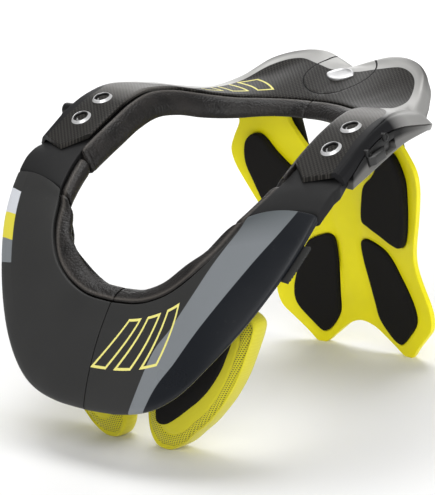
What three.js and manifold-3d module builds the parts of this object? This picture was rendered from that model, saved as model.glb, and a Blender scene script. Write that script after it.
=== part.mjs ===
// A motocross neck brace: a stiff collar that opens at the front, two padded
// chest supports under it, and a two-winged back stabilizer behind it.
// Millimetres, +Z up. The wearer faces -Y, the wearer's left is +X, and the
// brace stands on its two chest supports and the two feet of the stabilizer.
import * as THREE from 'three';
import { mergeVertices } from 'three/addons/utils/BufferGeometryUtils.js';
import { TessellateModifier } from 'three/addons/modifiers/TessellateModifier.js';
import Module from 'manifold-3d';

const wasm = await Module();
wasm.setup();

// Driving sizes of the whole brace
const halfWidth = 129; // from the middle to the outer face of a rear shell
const frontReach = 165; // from the middle of the neck to the front edge
const rearReach = 139; // from the middle of the neck to the back of the ears
const armHeight = 205; // top of the side arms above the floor

// Walls and thicknesses
const coverWall = 6;
const coverCrown = 4;
const frameWall = 4.5;
const shellWall = 3;
const padThickness = 11;
const tongueWall = 4;
const stabilizerWall = 5;
const pocketDepth = 2;
const lowerFoam = 4.5;
const upperFoam = 8;
const chestThickness = 15;
const panelWall = 2.5;

// Clearances
const gap = 0.4;
const seam = 0.8;
const shellSeat = 1.1; // under the shells, which curve two ways

// Small hardware
const eyeletDiameter = 14;
const eyeletWall = 1.6;
const screwDiameter = 8;
const screwLength = 12.5;
const socketAcross = 4.5;
const hubDiameter = 52;
const badgeWidth = 23;
const badgeDepth = 17;
const badgeWall = 2.2;
const badgeSink = 1.2;
const leverLength = 24;
const leverHeight = 6;
const leverDepth = 13;
const pinDiameter = 3;
const postWidth = 36;
const postWall = 4;

// Finishes as seen on the photographed brace
const finishes = {
  mattePlastic: { color: 0x3a3a39, roughness: 0.7, metalness: 0 },
  blackPlastic: { color: 0x1c1c1d, roughness: 0.55, metalness: 0 },
  carbon: { color: 0x4c4a47, roughness: 0.4, metalness: 0.2 },
  silverPaint: { color: 0x8b8b89, roughness: 0.35, metalness: 0.5 },
  yellowPlastic: { color: 0xe3dc1e, roughness: 0.45, metalness: 0 },
  yellowCloth: { color: 0xdcd61c, roughness: 0.9, metalness: 0 },
  blackFoam: { color: 0x1b1a19, roughness: 0.95, metalness: 0 },
  leather: { color: 0x2c2927, roughness: 0.6, metalness: 0 },
  chrome: { color: 0xc9cbcc, roughness: 0.15, metalness: 1 },
};

const brace = new THREE.Group();

function addPiece(name, geometry, finish) {
  const mesh = new THREE.Mesh(geometry, new THREE.MeshStandardMaterial(finishes[finish]));
  mesh.name = name;
  brace.add(mesh);
  return mesh;
}

// Solids as welded, outward-facing triangles

function signedVolume(position, index) {
  const corners = [new THREE.Vector3(), new THREE.Vector3(), new THREE.Vector3()];
  let volume = 0;
  for (let start = 0; start < index.count; start += 3) {
    corners.forEach((corner, n) => corner.fromBufferAttribute(position, index.getX(start + n)));
    volume += corners[0].dot(corners[1].cross(corners[2])) / 6;
  }
  return volume;
}

function welded(geometry) {
  const plain = geometry.clone();
  plain.deleteAttribute('normal');
  plain.deleteAttribute('uv');
  const merged = mergeVertices(plain, 0.001);
  if (signedVolume(merged.getAttribute('position'), merged.getIndex()) < 0) {
    const order = merged.getIndex().array;
    for (let start = 0; start < order.length; start += 3) {
      [order[start + 1], order[start + 2]] = [order[start + 2], order[start + 1]];
    }
  }
  return merged;
}

function toManifold(geometry) {
  const solid = welded(geometry);
  return new wasm.Manifold(new wasm.Mesh({
    numProp: 3,
    vertProperties: new Float32Array(solid.getAttribute('position').array),
    triVerts: new Uint32Array(solid.getIndex().array),
  }));
}

function fromManifold(solid) {
  const mesh = solid.getMesh();
  const geometry = new THREE.BufferGeometry();
  geometry.setAttribute('position', new THREE.Float32BufferAttribute(mesh.vertProperties, 3));
  geometry.setIndex([...mesh.triVerts]);
  geometry.computeVertexNormals();
  return geometry;
}

function cut(geometry, cutters) {
  return fromManifold(cutters.reduce((rest, cutter) => rest.subtract(toManifold(cutter)),
    toManifold(geometry)));
}

function joined(geometries) {
  return fromManifold(geometries.map(toManifold).reduce((sum, next) => sum.add(next)));
}

function mirrored(geometry, side) {
  return side > 0 ? geometry : welded(geometry.clone().scale(-1, 1, 1));
}

// A closed body through sections of the same number of points. Each section
// has its flat outline, for the end caps, and the same points in space.
function loft(sections) {
  const count = sections[0].points.length;
  const positions = sections.flatMap(({ points }) => points.flatMap((p) => [p.x, p.y, p.z]));
  const faces = [];
  for (let row = 0; row < sections.length - 1; row += 1) {
    for (let column = 0; column < count; column += 1) {
      const next = (column + 1) % count;
      const [a, b] = [row * count + column, row * count + next];
      const [c, d] = [a + count, b + count];
      faces.push(a, b, d, a, d, c);
    }
  }
  const capFirst = THREE.ShapeUtils.triangulateShape(sections[0].flat, []);
  const capLast = THREE.ShapeUtils.triangulateShape(sections.at(-1).flat, []);
  const lastStart = (sections.length - 1) * count;
  const forwards = THREE.ShapeUtils.area(sections[0].flat) > 0;
  capFirst.forEach(([a, b, c]) => faces.push(...(forwards ? [a, c, b] : [a, b, c])));
  capLast.forEach((cap) => {
    const [a, b, c] = cap.map((n) => n + lastStart);
    faces.push(...(forwards ? [a, b, c] : [a, c, b]));
  });
  const geometry = new THREE.BufferGeometry();
  geometry.setAttribute('position', new THREE.Float32BufferAttribute(positions, 3));
  geometry.setIndex(faces);
  return welded(geometry);
}

// Tables: named columns, a row for each section, a smooth curve between rows

function smoothValue(t, before, from, to, after) {
  const [leave, arrive] = [(to - before) / 2, (after - from) / 2];
  const bend = 2 * from - 2 * to + leave + arrive;
  return from + leave * t + (3 * to - 3 * from - 2 * leave - arrive) * t ** 2 + bend * t ** 3;
}

function smoothTable(columns, rows) {
  const last = rows.length - 1;
  return (place) => {
    const start = Math.min(Math.max(Math.floor(place), 0), last - 1);
    const near = [-1, 0, 1, 2].map((step) => rows[Math.min(Math.max(start + step, 0), last)]);
    return Object.fromEntries(columns.map((column, n) => (
      [column, smoothValue(place - start, ...near.map((row) => row[n]))])));
  };
}

function placesFrom(first, last, steps) {
  return Array.from({ length: steps + 1 }, (_, n) => first + ((last - first) * n) / steps);
}

const pointFrom = (across, along, up) => new THREE.Vector3(
  across * halfWidth,
  along * (along < 0 ? frontReach : rearReach),
  up * armHeight,
);

// Front collar, left half, from the middle round to the side seam. Shares of
// halfWidth across, of frontReach along and of armHeight up.
const frontRow = smoothTable(
  ['innerAcross', 'innerAlong', 'innerUp', 'outerAcross', 'outerAlong', 'outerUp'],
  [
    [0.000, -0.815, 0.481, 0.000, -1.000, 0.180],
    [0.136, -0.815, 0.487, 0.208, -0.997, 0.187],
    [0.233, -0.806, 0.501, 0.388, -0.973, 0.211],
    [0.333, -0.789, 0.529, 0.533, -0.932, 0.265],
    [0.419, -0.764, 0.569, 0.664, -0.872, 0.355],
    [0.490, -0.720, 0.618, 0.796, -0.778, 0.474],
    [0.547, -0.661, 0.668, 0.900, -0.673, 0.605],
    [0.587, -0.596, 0.720, 0.950, -0.588, 0.698],
    [0.608, -0.560, 0.754, 0.971, -0.503, 0.779],
    [0.648, -0.461, 0.807, 0.982, -0.424, 0.829],
    [0.671, -0.364, 0.851, 0.955, -0.345, 0.851],
    [0.672, -0.265, 0.890, 0.935, -0.265, 0.890],
  ],
);
const seamPlace = 8;
const linkEnd = 10.6;

// Neck roll inside the collar, from the middle of the front: how thick it is,
// and its top and bottom below the collar's edge. Shares of padThickness.
const frontRoll = smoothTable(
  ['thick', 'top', 'bottom'],
  [
    [1.00, -0.09, -1.23],
    [1.00, -0.09, -1.23],
    [1.00, -0.10, -1.25],
    [1.00, -0.12, -1.28],
    [1.02, -0.16, -1.34],
    [1.06, -0.20, -1.38],
    [1.08, -0.22, -1.38],
    [1.06, -0.22, -1.36],
    [1.00, -0.22, -1.34],
    [0.94, -0.22, -1.32],
    [0.90, -0.22, -1.32],
    [0.90, -0.22, -1.32],
  ],
);

// Rear shell, left half, from the arm's front end round to the middle of the
// back: its inner edge, the way that its section faces, the crease at the
// deck's edge, the ridge of the ear, the rim of the skirt and the lip of the
// base below it. Outward shares are of halfWidth, turns are in degrees.
const rearRow = smoothTable(
  ['across', 'along', 'up', 'turn', 'creaseOut', 'creaseUp', 'ridgeOut', 'ridgeUp',
    'rimOut', 'rimUp', 'lipOut', 'lipUp'],
  [
    [0.674, -0.424, 0.851, 0, 0.256, 0.851, 0.279, 0.844, 0.316, 0.810, 0.310, 0.780],
    [0.668, -0.315, 0.897, 0, 0.271, 0.900, 0.291, 0.895, 0.323, 0.862, 0.322, 0.815],
    [0.662, -0.206, 0.940, 0, 0.281, 0.948, 0.298, 0.943, 0.324, 0.922, 0.338, 0.850],
    [0.661, -0.091, 0.979, 0, 0.271, 0.985, 0.295, 0.980, 0.325, 0.960, 0.342, 0.885],
    [0.655, 0.029, 1.000, 2, 0.246, 1.004, 0.295, 0.995, 0.332, 0.968, 0.345, 0.915],
    [0.624, 0.173, 0.992, 14, 0.205, 0.992, 0.315, 0.978, 0.360, 0.950, 0.358, 0.926],
    [0.566, 0.288, 0.973, 28, 0.195, 0.968, 0.285, 0.950, 0.334, 0.925, 0.324, 0.900],
    [0.488, 0.374, 0.956, 42, 0.200, 0.955, 0.275, 0.946, 0.320, 0.918, 0.305, 0.893],
    [0.399, 0.446, 0.945, 54, 0.245, 0.958, 0.340, 0.972, 0.385, 0.935, 0.355, 0.905],
    [0.310, 0.493, 0.943, 64, 0.295, 0.980, 0.430, 1.026, 0.475, 0.970, 0.430, 0.930],
    [0.225, 0.532, 0.942, 73, 0.310, 1.006, 0.455, 1.050, 0.502, 0.990, 0.450, 0.948],
    [0.147, 0.558, 0.941, 80, 0.315, 1.016, 0.430, 1.052, 0.480, 0.992, 0.430, 0.955],
    [0.078, 0.573, 0.940, 86, 0.310, 1.013, 0.390, 1.034, 0.436, 0.982, 0.400, 0.950],
    [0.000, 0.577, 0.939, 90, 0.310, 1.010, 0.360, 1.012, 0.400, 0.974, 0.378, 0.945],
  ],
);
const backPlace = 13;

// Neck roll inside the rear, and the bottom of the base's inner wall
const rearRoll = smoothTable(
  ['thick', 'top', 'bottom', 'baseBottom'],
  [
    [0.92, -0.30, -1.86, -1.62],
    [0.92, -0.30, -1.86, -1.62],
    [0.94, -0.30, -1.84, -1.62],
    [0.96, -0.28, -1.80, -1.62],
    [0.98, -0.26, -1.78, -1.60],
    [1.00, -0.22, -1.74, -1.50],
    [1.00, -0.20, -1.70, -1.36],
    [1.00, -0.17, -1.52, -1.22],
    [1.00, -0.15, -1.34, -1.10],
    [1.00, -0.14, -1.22, -1.09],
    [1.00, -0.14, -1.16, -1.09],
    [1.00, -0.14, -1.14, -1.09],
    [1.00, -0.14, -1.14, -1.09],
    [1.00, -0.14, -1.14, -1.09],
  ],
);

// A station is an upright plane that faces out from the neck. Its profile
// runs outward along the deck and up from it, tilted by the slope there.
function makeStation(inner, outX, outY, slope) {
  const toSpace = ({ x: run, y: rise }, middle = seam / 2) => {
    const out = run * Math.cos(slope) + rise * Math.sin(slope);
    return new THREE.Vector3(
      Math.max(inner.x + outX * out, middle),
      inner.y + outY * out,
      inner.z - run * Math.sin(slope) + rise * Math.cos(slope),
    );
  };
  return { toSpace };
}

const rollOf = (row) => Object.fromEntries(
  Object.entries(row).map(([column, share]) => [column, share * padThickness]));

function frontStation(place) {
  const row = frontRow(place);
  const inner = pointFrom(row.innerAcross, row.innerAlong, row.innerUp);
  const outer = pointFrom(row.outerAcross, row.outerAlong, row.outerUp);
  const run = Math.hypot(outer.x - inner.x, outer.y - inner.y);
  const slope = Math.atan2(inner.z - outer.z, run);
  const station = makeStation(inner, (outer.x - inner.x) / run, (outer.y - inner.y) / run, slope);
  return { ...station, width: inner.distanceTo(outer), roll: rollOf(frontRoll(place)) };
}

function rearStation(place) {
  const row = rearRow(place);
  const inner = pointFrom(row.across, row.along, row.up);
  const turn = THREE.MathUtils.degToRad(row.turn);
  const station = makeStation(inner, Math.cos(turn), Math.sin(turn), 0);
  const spot = (out, up) => new THREE.Vector2(out * halfWidth, up * armHeight - inner.z);
  return {
    ...station,
    crease: spot(row.creaseOut, row.creaseUp),
    ridge: spot(row.ridgeOut, row.ridgeUp),
    rim: spot(row.rimOut, row.rimUp),
    lip: spot(row.lipOut, row.lipUp),
    roll: rollOf(rearRoll(place)),
  };
}

function ringSolid(places, stationAt, profileOf, middle = seam / 2) {
  return loft(places.map((place) => {
    const station = stationAt(place);
    const flat = profileOf(station);
    return { flat, points: flat.map((spot) => station.toSpace(spot, middle)) };
  }));
}

const spots = (pairs) => pairs.map(([x, y]) => new THREE.Vector2(x, y));

// Front covers, the frame under them and the links at the sides

const crownAt = (share) => coverCrown * 4 * share * (1 - share);

function coverProfile({ width }) {
  const top = [0.03, 0.12, 0.3, 0.5, 0.7, 0.88, 0.97];
  const under = [...top].reverse();
  return spots([
    [0, -coverWall * 0.3],
    ...top.map((share) => [share * width, crownAt(share)]),
    [width, -coverWall * 0.2],
    [width * 1.005, -coverWall * 0.6],
    ...under.map((share) => [share * width, crownAt(share) - coverWall]),
    [0, -coverWall * 0.8],
  ]);
}

const frameTop = -coverWall - gap;
const frameShare = 0.62;

function frameProfile({ width, roll }) {
  const reach = [0.12, 0.3, 0.5, frameShare];
  const under = [...reach].reverse();
  const shelf = roll.bottom - gap;
  return spots([
    [-roll.thick, shelf],
    [gap, shelf],
    [gap, frameTop],
    ...reach.map((share) => [share * width, crownAt(share) + frameTop]),
    ...under.slice(0, 3).map((share) => [share * width, crownAt(share) + frameTop - frameWall]),
    [frameWall * 1.6, shelf - frameWall],
    [-roll.thick, shelf - frameWall],
  ]);
}

// Neck roll: a pad in each of the three lengths of the ring. Its face slants
// from a narrow top beside the collar down to a round bottom at the neck.
// Each point is a share of the pad's thickness and one of its depth.
const rollFace = [
  [0.02, 0.12],
  [0.06, 0.03],
  [0.16, 0],
  [0.34, 0.12],
  [0.58, 0.34],
  [0.84, 0.61],
  [1, 0.80],
  [0.97, 0.94],
  [0.86, 1],
  [0, 1],
];
const sidePadEnd = 9.7; // along the front table
const rearPadStart = 0.45; // along the rear table

const padProfile = ({ roll }) => spots(rollFace.map(([across, down]) => [
  -gap - across * roll.thick, roll.top + (roll.bottom - roll.top) * down]));

const seamShare = 0.03; // half the side seam, as a place along the table
const coverEnd = seamPlace - seamShare;
const coverPlaces = placesFrom(0, coverEnd, 13);

function frontCover() {
  return ringSolid(coverPlaces, frontStation, coverProfile);
}

function frontPad() {
  return ringSolid(placesFrom(0, coverEnd, 12), frontStation, padProfile);
}

// The link that joins the collar to an arm, with a tongue inside the arm

const linkWall = 9;
const tongueInset = 0.035;
const tongueWidth = 0.2;
const tongueStart = 1.05;
const tongueEnd = 3.6;
const tongueTop = -shellWall - gap;

function linkProfile(grow) {
  return ({ width }) => {
    const top = [0.03, 0.3, 0.7, 0.97];
    const under = [...top].reverse();
    const crown = (share) => crownAt(share) * 0.5;
    return spots([
      [-grow, -linkWall * 0.2],
      ...top.map((share) => [share * width, crown(share) + grow]),
      [width + grow, -linkWall * 0.25],
      [width + grow, -linkWall * 0.75],
      ...under.map((share) => [share * width, crown(share) - linkWall - grow]),
      [-grow, -linkWall * 0.85],
    ]);
  };
}

function tongueProfile(grow) {
  return ({ crease }) => {
    const near = tongueInset * halfWidth - grow;
    const far = near + tongueWidth * halfWidth + 2 * grow;
    const drop = (run) => (crease.y * run) / crease.x + tongueTop;
    return spots([
      [near, drop(near) + grow],
      [far, drop(far) + grow],
      [far, drop(far) - tongueWall - grow],
      [near, drop(near) - tongueWall - grow],
    ]);
  };
}

const linkPlaces = placesFrom(seamPlace + seamShare, linkEnd, 5);
const tonguePlaces = placesFrom(tongueStart, tongueEnd, 5);

// Rear shells and the base under them

function deckLine({ crease, ridge, rim }) {
  const between = (from, to, share, lift) => new THREE.Vector2(
    from.x + (to.x - from.x) * share, from.y + (to.y - from.y) * share + lift,
  );
  const brow = new THREE.Vector2(ridge.x + (rim.x - ridge.x) * 0.55, ridge.y - 2.5);
  return [
    new THREE.Vector2(0, -shellWall * 0.3),
    new THREE.Vector2(shellWall * 0.4, 0),
    crease.clone().multiplyScalar(0.5),
    crease,
    between(crease, ridge, 0.5, -0.08 * Math.max(ridge.y - crease.y, 0)),
    ridge,
    brow,
    between(brow, rim, 0.5, 0),
    rim,
  ];
}

function offsetLine(line, depth) {
  return line.map((spot, n) => {
    const along = line[Math.min(n + 1, line.length - 1)].clone().sub(line[Math.max(n - 1, 0)]);
    along.normalize();
    return new THREE.Vector2(spot.x + along.y * depth, spot.y - along.x * depth);
  });
}

function shellProfile(station) {
  const line = deckLine(station);
  const inside = offsetLine(line, shellWall);
  inside[0].set(shellWall * 0.3, -shellWall);
  inside[1].set(shellWall * 0.6, -shellWall);
  return [...line, ...inside.reverse()];
}

function baseProfile(station) {
  const line = deckLine(station);
  const inside = offsetLine(line, shellWall);
  const [middle, crease, slope] = inside.slice(2, 5).map(({ x, y }) => (
    new THREE.Vector2(x, y - shellSeat)));
  const ridge = new THREE.Vector2(inside[5].x - shellSeat, inside[5].y - shellSeat);
  const rimTurn = station.rim.clone().sub(line.at(-2)).normalize().multiplyScalar(2 * gap);
  const inRim = new THREE.Vector2(inside[8].x + rimTurn.x - shellSeat, inside[8].y + rimTurn.y);
  const outRim = station.rim.clone().add(rimTurn);
  return [
    new THREE.Vector2(gap, -shellWall - shellSeat),
    middle,
    crease,
    slope,
    ridge,
    inRim,
    outRim,
    station.lip,
    new THREE.Vector2(station.lip.x * 0.8, station.lip.y + 1),
    new THREE.Vector2(station.lip.x * 0.4, (station.lip.y + station.roll.baseBottom) * 0.5),
    new THREE.Vector2(gap, station.roll.baseBottom),
  ];
}

const shellStart = 0.02;
const baseStart = 1.15;
const earStart = 8;
const earEnd = 11.2;
const basePlaces = [...placesFrom(baseStart, earStart, 9), ...placesFrom(earStart, earEnd, 6).slice(1),
  ...placesFrom(earEnd, backPlace, 3).slice(1)];
const shellPlaces = [shellStart, (shellStart + baseStart) / 2, ...basePlaces];

// The arm's front end is a blunt V in plan, cut through the shell and base
const armTip = [
  [0.40, -0.310],
  [0.671, -0.321],
  [0.788, -0.402],
  [0.993, -0.347],
  [1.20, -0.347],
  [1.20, -0.70],
  [0.40, -0.70],
];

function armTipCutter() {
  const outline = new THREE.Shape(armTip.map(([across, along]) => (
    new THREE.Vector2(across * halfWidth, along * frontReach))));
  return new THREE.ExtrudeGeometry(outline, { depth: armHeight * 1.5, bevelEnabled: false });
}

// Screws through an arm: places along the rear table and shares out from it
const screwPlaces = [1.62, 2.78];
const screwOut = 19.5;

function screwSeat(place) {
  const station = rearStation(place);
  const later = rearStation(place + 0.2);
  const { crease } = station;
  const seat = station.toSpace({ x: screwOut, y: (crease.y * screwOut) / crease.x });
  const across = station.toSpace(crease).sub(station.toSpace({ x: 0, y: 0 })).normalize();
  const along = later.toSpace({ x: screwOut, y: (later.crease.y * screwOut) / later.crease.x })
    .sub(seat).normalize();
  const up = across.clone().cross(along).normalize();
  return { seat, up };
}

function onSeat(geometry, { seat, up }, lift) {
  const turn = new THREE.Quaternion().setFromUnitVectors(new THREE.Vector3(0, 0, 1), up);
  const placed = geometry.applyQuaternion(turn);
  return placed.translate(seat.x + up.x * lift, seat.y + up.y * lift, seat.z + up.z * lift);
}

// A plain cylinder that stands on +Z, with its top at zero
function uprightCylinder(diameter, length, sides = 14) {
  return new THREE.CylinderGeometry(diameter / 2, diameter / 2, length, sides)
    .rotateX(Math.PI / 2).translate(0, 0, -length / 2);
}

function eyelet() {
  const [outer, inner] = [eyeletDiameter / 2, screwDiameter / 2 + gap];
  const ring = [[inner, 0], [outer, 0], [outer - 1, eyeletWall], [inner + 0.8, eyeletWall], [inner, 0]];
  return new THREE.LatheGeometry(spots(ring), 14).rotateX(Math.PI / 2);
}

function screw() {
  const socket = uprightCylinder(socketAcross, 4, 6).translate(0, 0, 1);
  return cut(uprightCylinder(screwDiameter, screwLength), [socket]);
}

// Release levers: a finger tab in a recess of each arm's flank, on a pin
// square to the arm. It is drawn round its pin, with the tab ahead of it.
const leverPlace = 3.25;
const leverInset = 0.35; // of leverDepth, from the rim in to the pin

function atLever(geometry) {
  const [here, later] = [leverPlace, leverPlace + 0.2].map((place) => {
    const { rim, lip, toSpace } = rearStation(place);
    return toSpace({ x: rim.x - leverInset * leverDepth, y: rim.y * 0.4 + lip.y * 0.6 });
  });
  const along = later.sub(here).normalize();
  const out = new THREE.Vector3(1, 0, 0).addScaledVector(along, -along.x).normalize();
  const up = out.clone().cross(along);
  return geometry.applyMatrix4(new THREE.Matrix4().makeBasis(out, along, up).setPosition(here));
}

function lever() {
  const knuckle = leverDepth * 0.3;
  const tab = leverDepth * 0.72;
  const shape = new THREE.Shape();
  shape.moveTo(-knuckle, 0);
  shape.lineTo(-knuckle, 2 - leverLength);
  shape.lineTo(2 - knuckle, -leverLength);
  shape.lineTo(tab - 3, -leverLength);
  shape.lineTo(tab, 3 - leverLength);
  shape.lineTo(tab, -leverLength * 0.45);
  shape.lineTo(knuckle, -leverLength * 0.15);
  shape.absarc(0, 0, knuckle, 0, Math.PI, false);
  const hole = new THREE.Path().absarc(0, 0, pinDiameter / 2 + gap, 0, Math.PI * 2, true);
  shape.holes.push(hole);
  const depth = leverHeight;
  const solid = new THREE.ExtrudeGeometry(shape, { depth, bevelEnabled: false, curveSegments: 8 });
  return atLever(solid.translate(0, 0, -leverHeight / 2));
}

function leverRecess() {
  const [deep, long, tall] = [leverDepth * 1.6, leverLength * 1.25, leverHeight + 2 * gap];
  const pocket = new THREE.BoxGeometry(deep, long, tall);
  return atLever(pocket.translate(deep / 2 - leverDepth * 0.38, leverLength * 0.2 - long / 2, 0));
}

const pinShaft = (grow, length) => atLever(
  uprightCylinder(pinDiameter + 2 * grow, length, 12).translate(0, 0, length / 2));

// Hub between the two shells, on the slope of the deck, with an oval badge
const hubTilt = THREE.MathUtils.degToRad(18.4);
const hubStart = 8.5; // along the rear table

function onHub(geometry, lift) {
  const back = rearStation(backPlace);
  const mid = hubDiameter / 2 + 5.5;
  const seat = back.toSpace({ x: mid, y: (back.crease.y * mid) / back.crease.x });
  return geometry.translate(0, 0, lift).rotateX(hubTilt).translate(0, seat.y, seat.z);
}

const hubCylinder = (grow) => onHub(
  uprightCylinder(hubDiameter + 2 * grow, shellWall * 10, 28), shellWall * 5);

// The hub is the round piece of the deck itself, with a recess for the badge
function hub() {
  const half = ringSolid(placesFrom(hubStart, backPlace, 8), rearStation, shellProfile, 0);
  const deck = joined([half, mirrored(half, -1)]);
  const recess = onHub(uprightCylinder(1, badgeWall * 3, 28)
    .scale(badgeWidth + gap, badgeDepth + gap, 1), badgeWall * 3 - badgeSink);
  const disc = fromManifold(toManifold(deck).intersect(toManifold(hubCylinder(0))));
  return cut(disc, [recess]);
}

function badge() {
  const oval = uprightCylinder(1, badgeWall, 28).scale(badgeWidth - gap, badgeDepth - gap, 1);
  return onHub(oval, badgeWall - badgeSink + gap);
}

// Back stabilizer: a plate that leans forward as it rises and curls round the
// back, cut out to two wings and two feet, with pockets for four foam inserts
const stabilizerHalf = 0.62 * halfWidth; // widest half width, at the wings
const stabilizerHeight = 0.888 * armHeight;
const wingLean = 0.212; // forward for each millimetre up
const hangAlong = 0.662 * rearReach; // behind the neck's middle, at the deck's height
const footAlong = hangAlong + wingLean * armHeight;
const footCurl = 0.135; // forward at a foot's outer edge, a share of stabilizerHalf
const wingCurl = 0.2; // the same at the top of a wing
const wingBow = 0.105; // forward at the top, beyond the lean, a share of stabilizerHalf

// Shares of stabilizerHalf and of stabilizerHeight, from the notch between
// the feet up one side to the V between the wings
const stabilizerEdge = [
  [0.00, 0.121], [0.13, 0.105], [0.24, 0.070], [0.34, 0.034], [0.44, 0.000], [0.52, 0.000],
  [0.61, 0.045], [0.73, 0.100], [0.82, 0.145], [0.848, 0.200], [0.83, 0.255], [0.775, 0.330],
  [0.745, 0.395], [0.752, 0.450], [0.79, 0.510], [0.85, 0.580], [0.925, 0.670], [0.98, 0.750],
  [0.985, 0.815], [0.93, 0.870], [0.85, 0.930], [0.79, 1.000], [0.43, 1.000], [0.36, 0.930],
  [0.27, 0.850], [0.15, 0.785], [0.00, 0.755],
];
const upperInsert = [
  [0.23, 0.57], [0.28, 0.66], [0.34, 0.72], [0.46, 0.765], [0.56, 0.82], [0.64, 0.88],
  [0.72, 0.89], [0.81, 0.85], [0.85, 0.77], [0.82, 0.69], [0.78, 0.615], [0.72, 0.53],
  [0.65, 0.48], [0.55, 0.483], [0.42, 0.512], [0.30, 0.54],
];
const lowerInsert = [
  [0.145, 0.46], [0.19, 0.483], [0.28, 0.476], [0.41, 0.448], [0.49, 0.405], [0.545, 0.355],
  [0.60, 0.305], [0.655, 0.24], [0.67, 0.185], [0.635, 0.143], [0.545, 0.096], [0.45, 0.054],
  [0.40, 0.053], [0.345, 0.07], [0.27, 0.11], [0.215, 0.155], [0.195, 0.22], [0.165, 0.32],
  [0.145, 0.39],
];

function stabilizerAlong(x, z) {
  const height = z / stabilizerHeight;
  const curl = footCurl + (wingCurl - footCurl) * height;
  const forward = curl * (x / stabilizerHalf) ** 2 + wingBow * height ** 3;
  return footAlong - wingLean * z - forward * stabilizerHalf;
}

function outlinePoints(shares, grow) {
  const points = shares.map(([across, up]) => (
    new THREE.Vector2(across * stabilizerHalf, up * stabilizerHeight)));
  const middle = points.reduce((sum, point) => sum.add(point), new THREE.Vector2())
    .divideScalar(points.length);
  return points.map((point) => {
    const away = point.clone().sub(middle);
    return point.clone().add(away.setLength(grow));
  });
}

function slab(points, wall, from) {
  const solid = new THREE.ExtrudeGeometry(new THREE.Shape(points), { depth: wall, bevelEnabled: false });
  return solid.translate(0, 0, from);
}

// Fine enough to bend, then laid on the leaning, curling back surface. A flat
// solid's z runs back from the front face of the plate.
function curled(geometry) {
  const fine = new TessellateModifier(28, 8).modify(welded(geometry).toNonIndexed());
  const position = fine.getAttribute('position');
  for (let n = 0; n < position.count; n += 1) {
    const [x, up, back] = [position.getX(n), position.getY(n), position.getZ(n)];
    position.setXYZ(n, x, stabilizerAlong(x, up) + back, up);
  }
  return welded(fine);
}

function stabilizer() {
  const side = outlinePoints(stabilizerEdge, 0);
  const otherSide = side.slice(1, -1).map(({ x, y }) => new THREE.Vector2(-x, y)).reverse();
  const plate = slab([...side, ...otherSide], stabilizerWall, 0);
  const pockets = [upperInsert, lowerInsert].flatMap((insert) => {
    const pocket = slab(outlinePoints(insert, gap), pocketDepth + 1, -1);
    return [pocket, mirrored(pocket, -1)];
  });
  return curled(cut(plate, pockets));
}

function foamInsert(insert, wall) {
  return curled(slab(outlinePoints(insert, -gap), wall, pocketDepth - gap - wall));
}

// Wide posts that carry the stabilizer, sunk in sockets under the base
const postAcross = 0.324 * halfWidth;
const postBottom = 0.70; // of armHeight
const postTop = 0.935; // of armHeight

function post(grow) {
  const [low, high] = [postBottom * armHeight, postTop * armHeight + grow];
  const section = (z) => {
    const front = stabilizerAlong(postAcross - postWidth / 2 - grow, z) + stabilizerWall + gap - grow;
    const half = postWidth / 2 + grow;
    const flat = spots([[-half, 0], [half, 0], [half, postWall + 2 * grow], [-half, postWall + 2 * grow]]);
    return { flat, points: flat.map((s) => new THREE.Vector3(postAcross + s.x, front + s.y, z)) };
  };
  return loft(placesFrom(low, high, 3).map(section));
}

// Chest supports: flat pads with a dark panel in front, hung on tabs of the frame
const chestHalf = 0.744 * halfWidth; // from the middle to the outer corner
const chestHeight = 0.478 * armHeight;
const chestAlong = 0.661 * frontReach; // ahead of the middle of the neck
const chestCurl = 6.5; // how far the outer corner bends back

const chestEdge = [
  [0.10, 0.22], [0.11, 0.11], [0.145, 0.035], [0.20, 0.000], [0.29, 0.000], [0.40, 0.055],
  [0.50, 0.145], [0.61, 0.235], [0.72, 0.36], [0.80, 0.475], [0.87, 0.60], [0.93, 0.74],
  [0.98, 0.87], [0.99, 0.94], [0.95, 0.985], [0.88, 1.00], [0.70, 0.99], [0.52, 0.92],
  [0.38, 0.84], [0.22, 0.76], [0.13, 0.70], [0.105, 0.50],
];
const panelEdge = [
  [0.19, 0.26], [0.19, 0.20], [0.22, 0.175], [0.28, 0.185], [0.36, 0.235], [0.46, 0.31],
  [0.57, 0.40], [0.66, 0.50], [0.74, 0.62], [0.80, 0.75], [0.84, 0.86], [0.80, 0.90],
  [0.66, 0.87], [0.48, 0.79], [0.34, 0.70], [0.23, 0.60], [0.19, 0.45],
];

const chestFront = (x) => -chestAlong - chestThickness / 2 + chestCurl * (x / chestHalf) ** 2;

function chestSlab(shares, wall, from) {
  const points = shares.map(([across, up]) => new THREE.Vector2(across * chestHalf, up * chestHeight));
  const flat = slab(points, wall, from);
  const fine = new TessellateModifier(30, 8).modify(welded(flat).toNonIndexed());
  const position = fine.getAttribute('position');
  for (let n = 0; n < position.count; n += 1) {
    const [x, up, back] = [position.getX(n), position.getY(n), position.getZ(n)];
    position.setXYZ(n, x, chestFront(x) + back, up);
  }
  return welded(fine);
}

const tabStart = 2.1;
const tabEnd = 3.7;
const tabFoot = 0.62; // of chestHeight
const tabSpread = 8; // how far the foot of the tab lies outside its top

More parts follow.
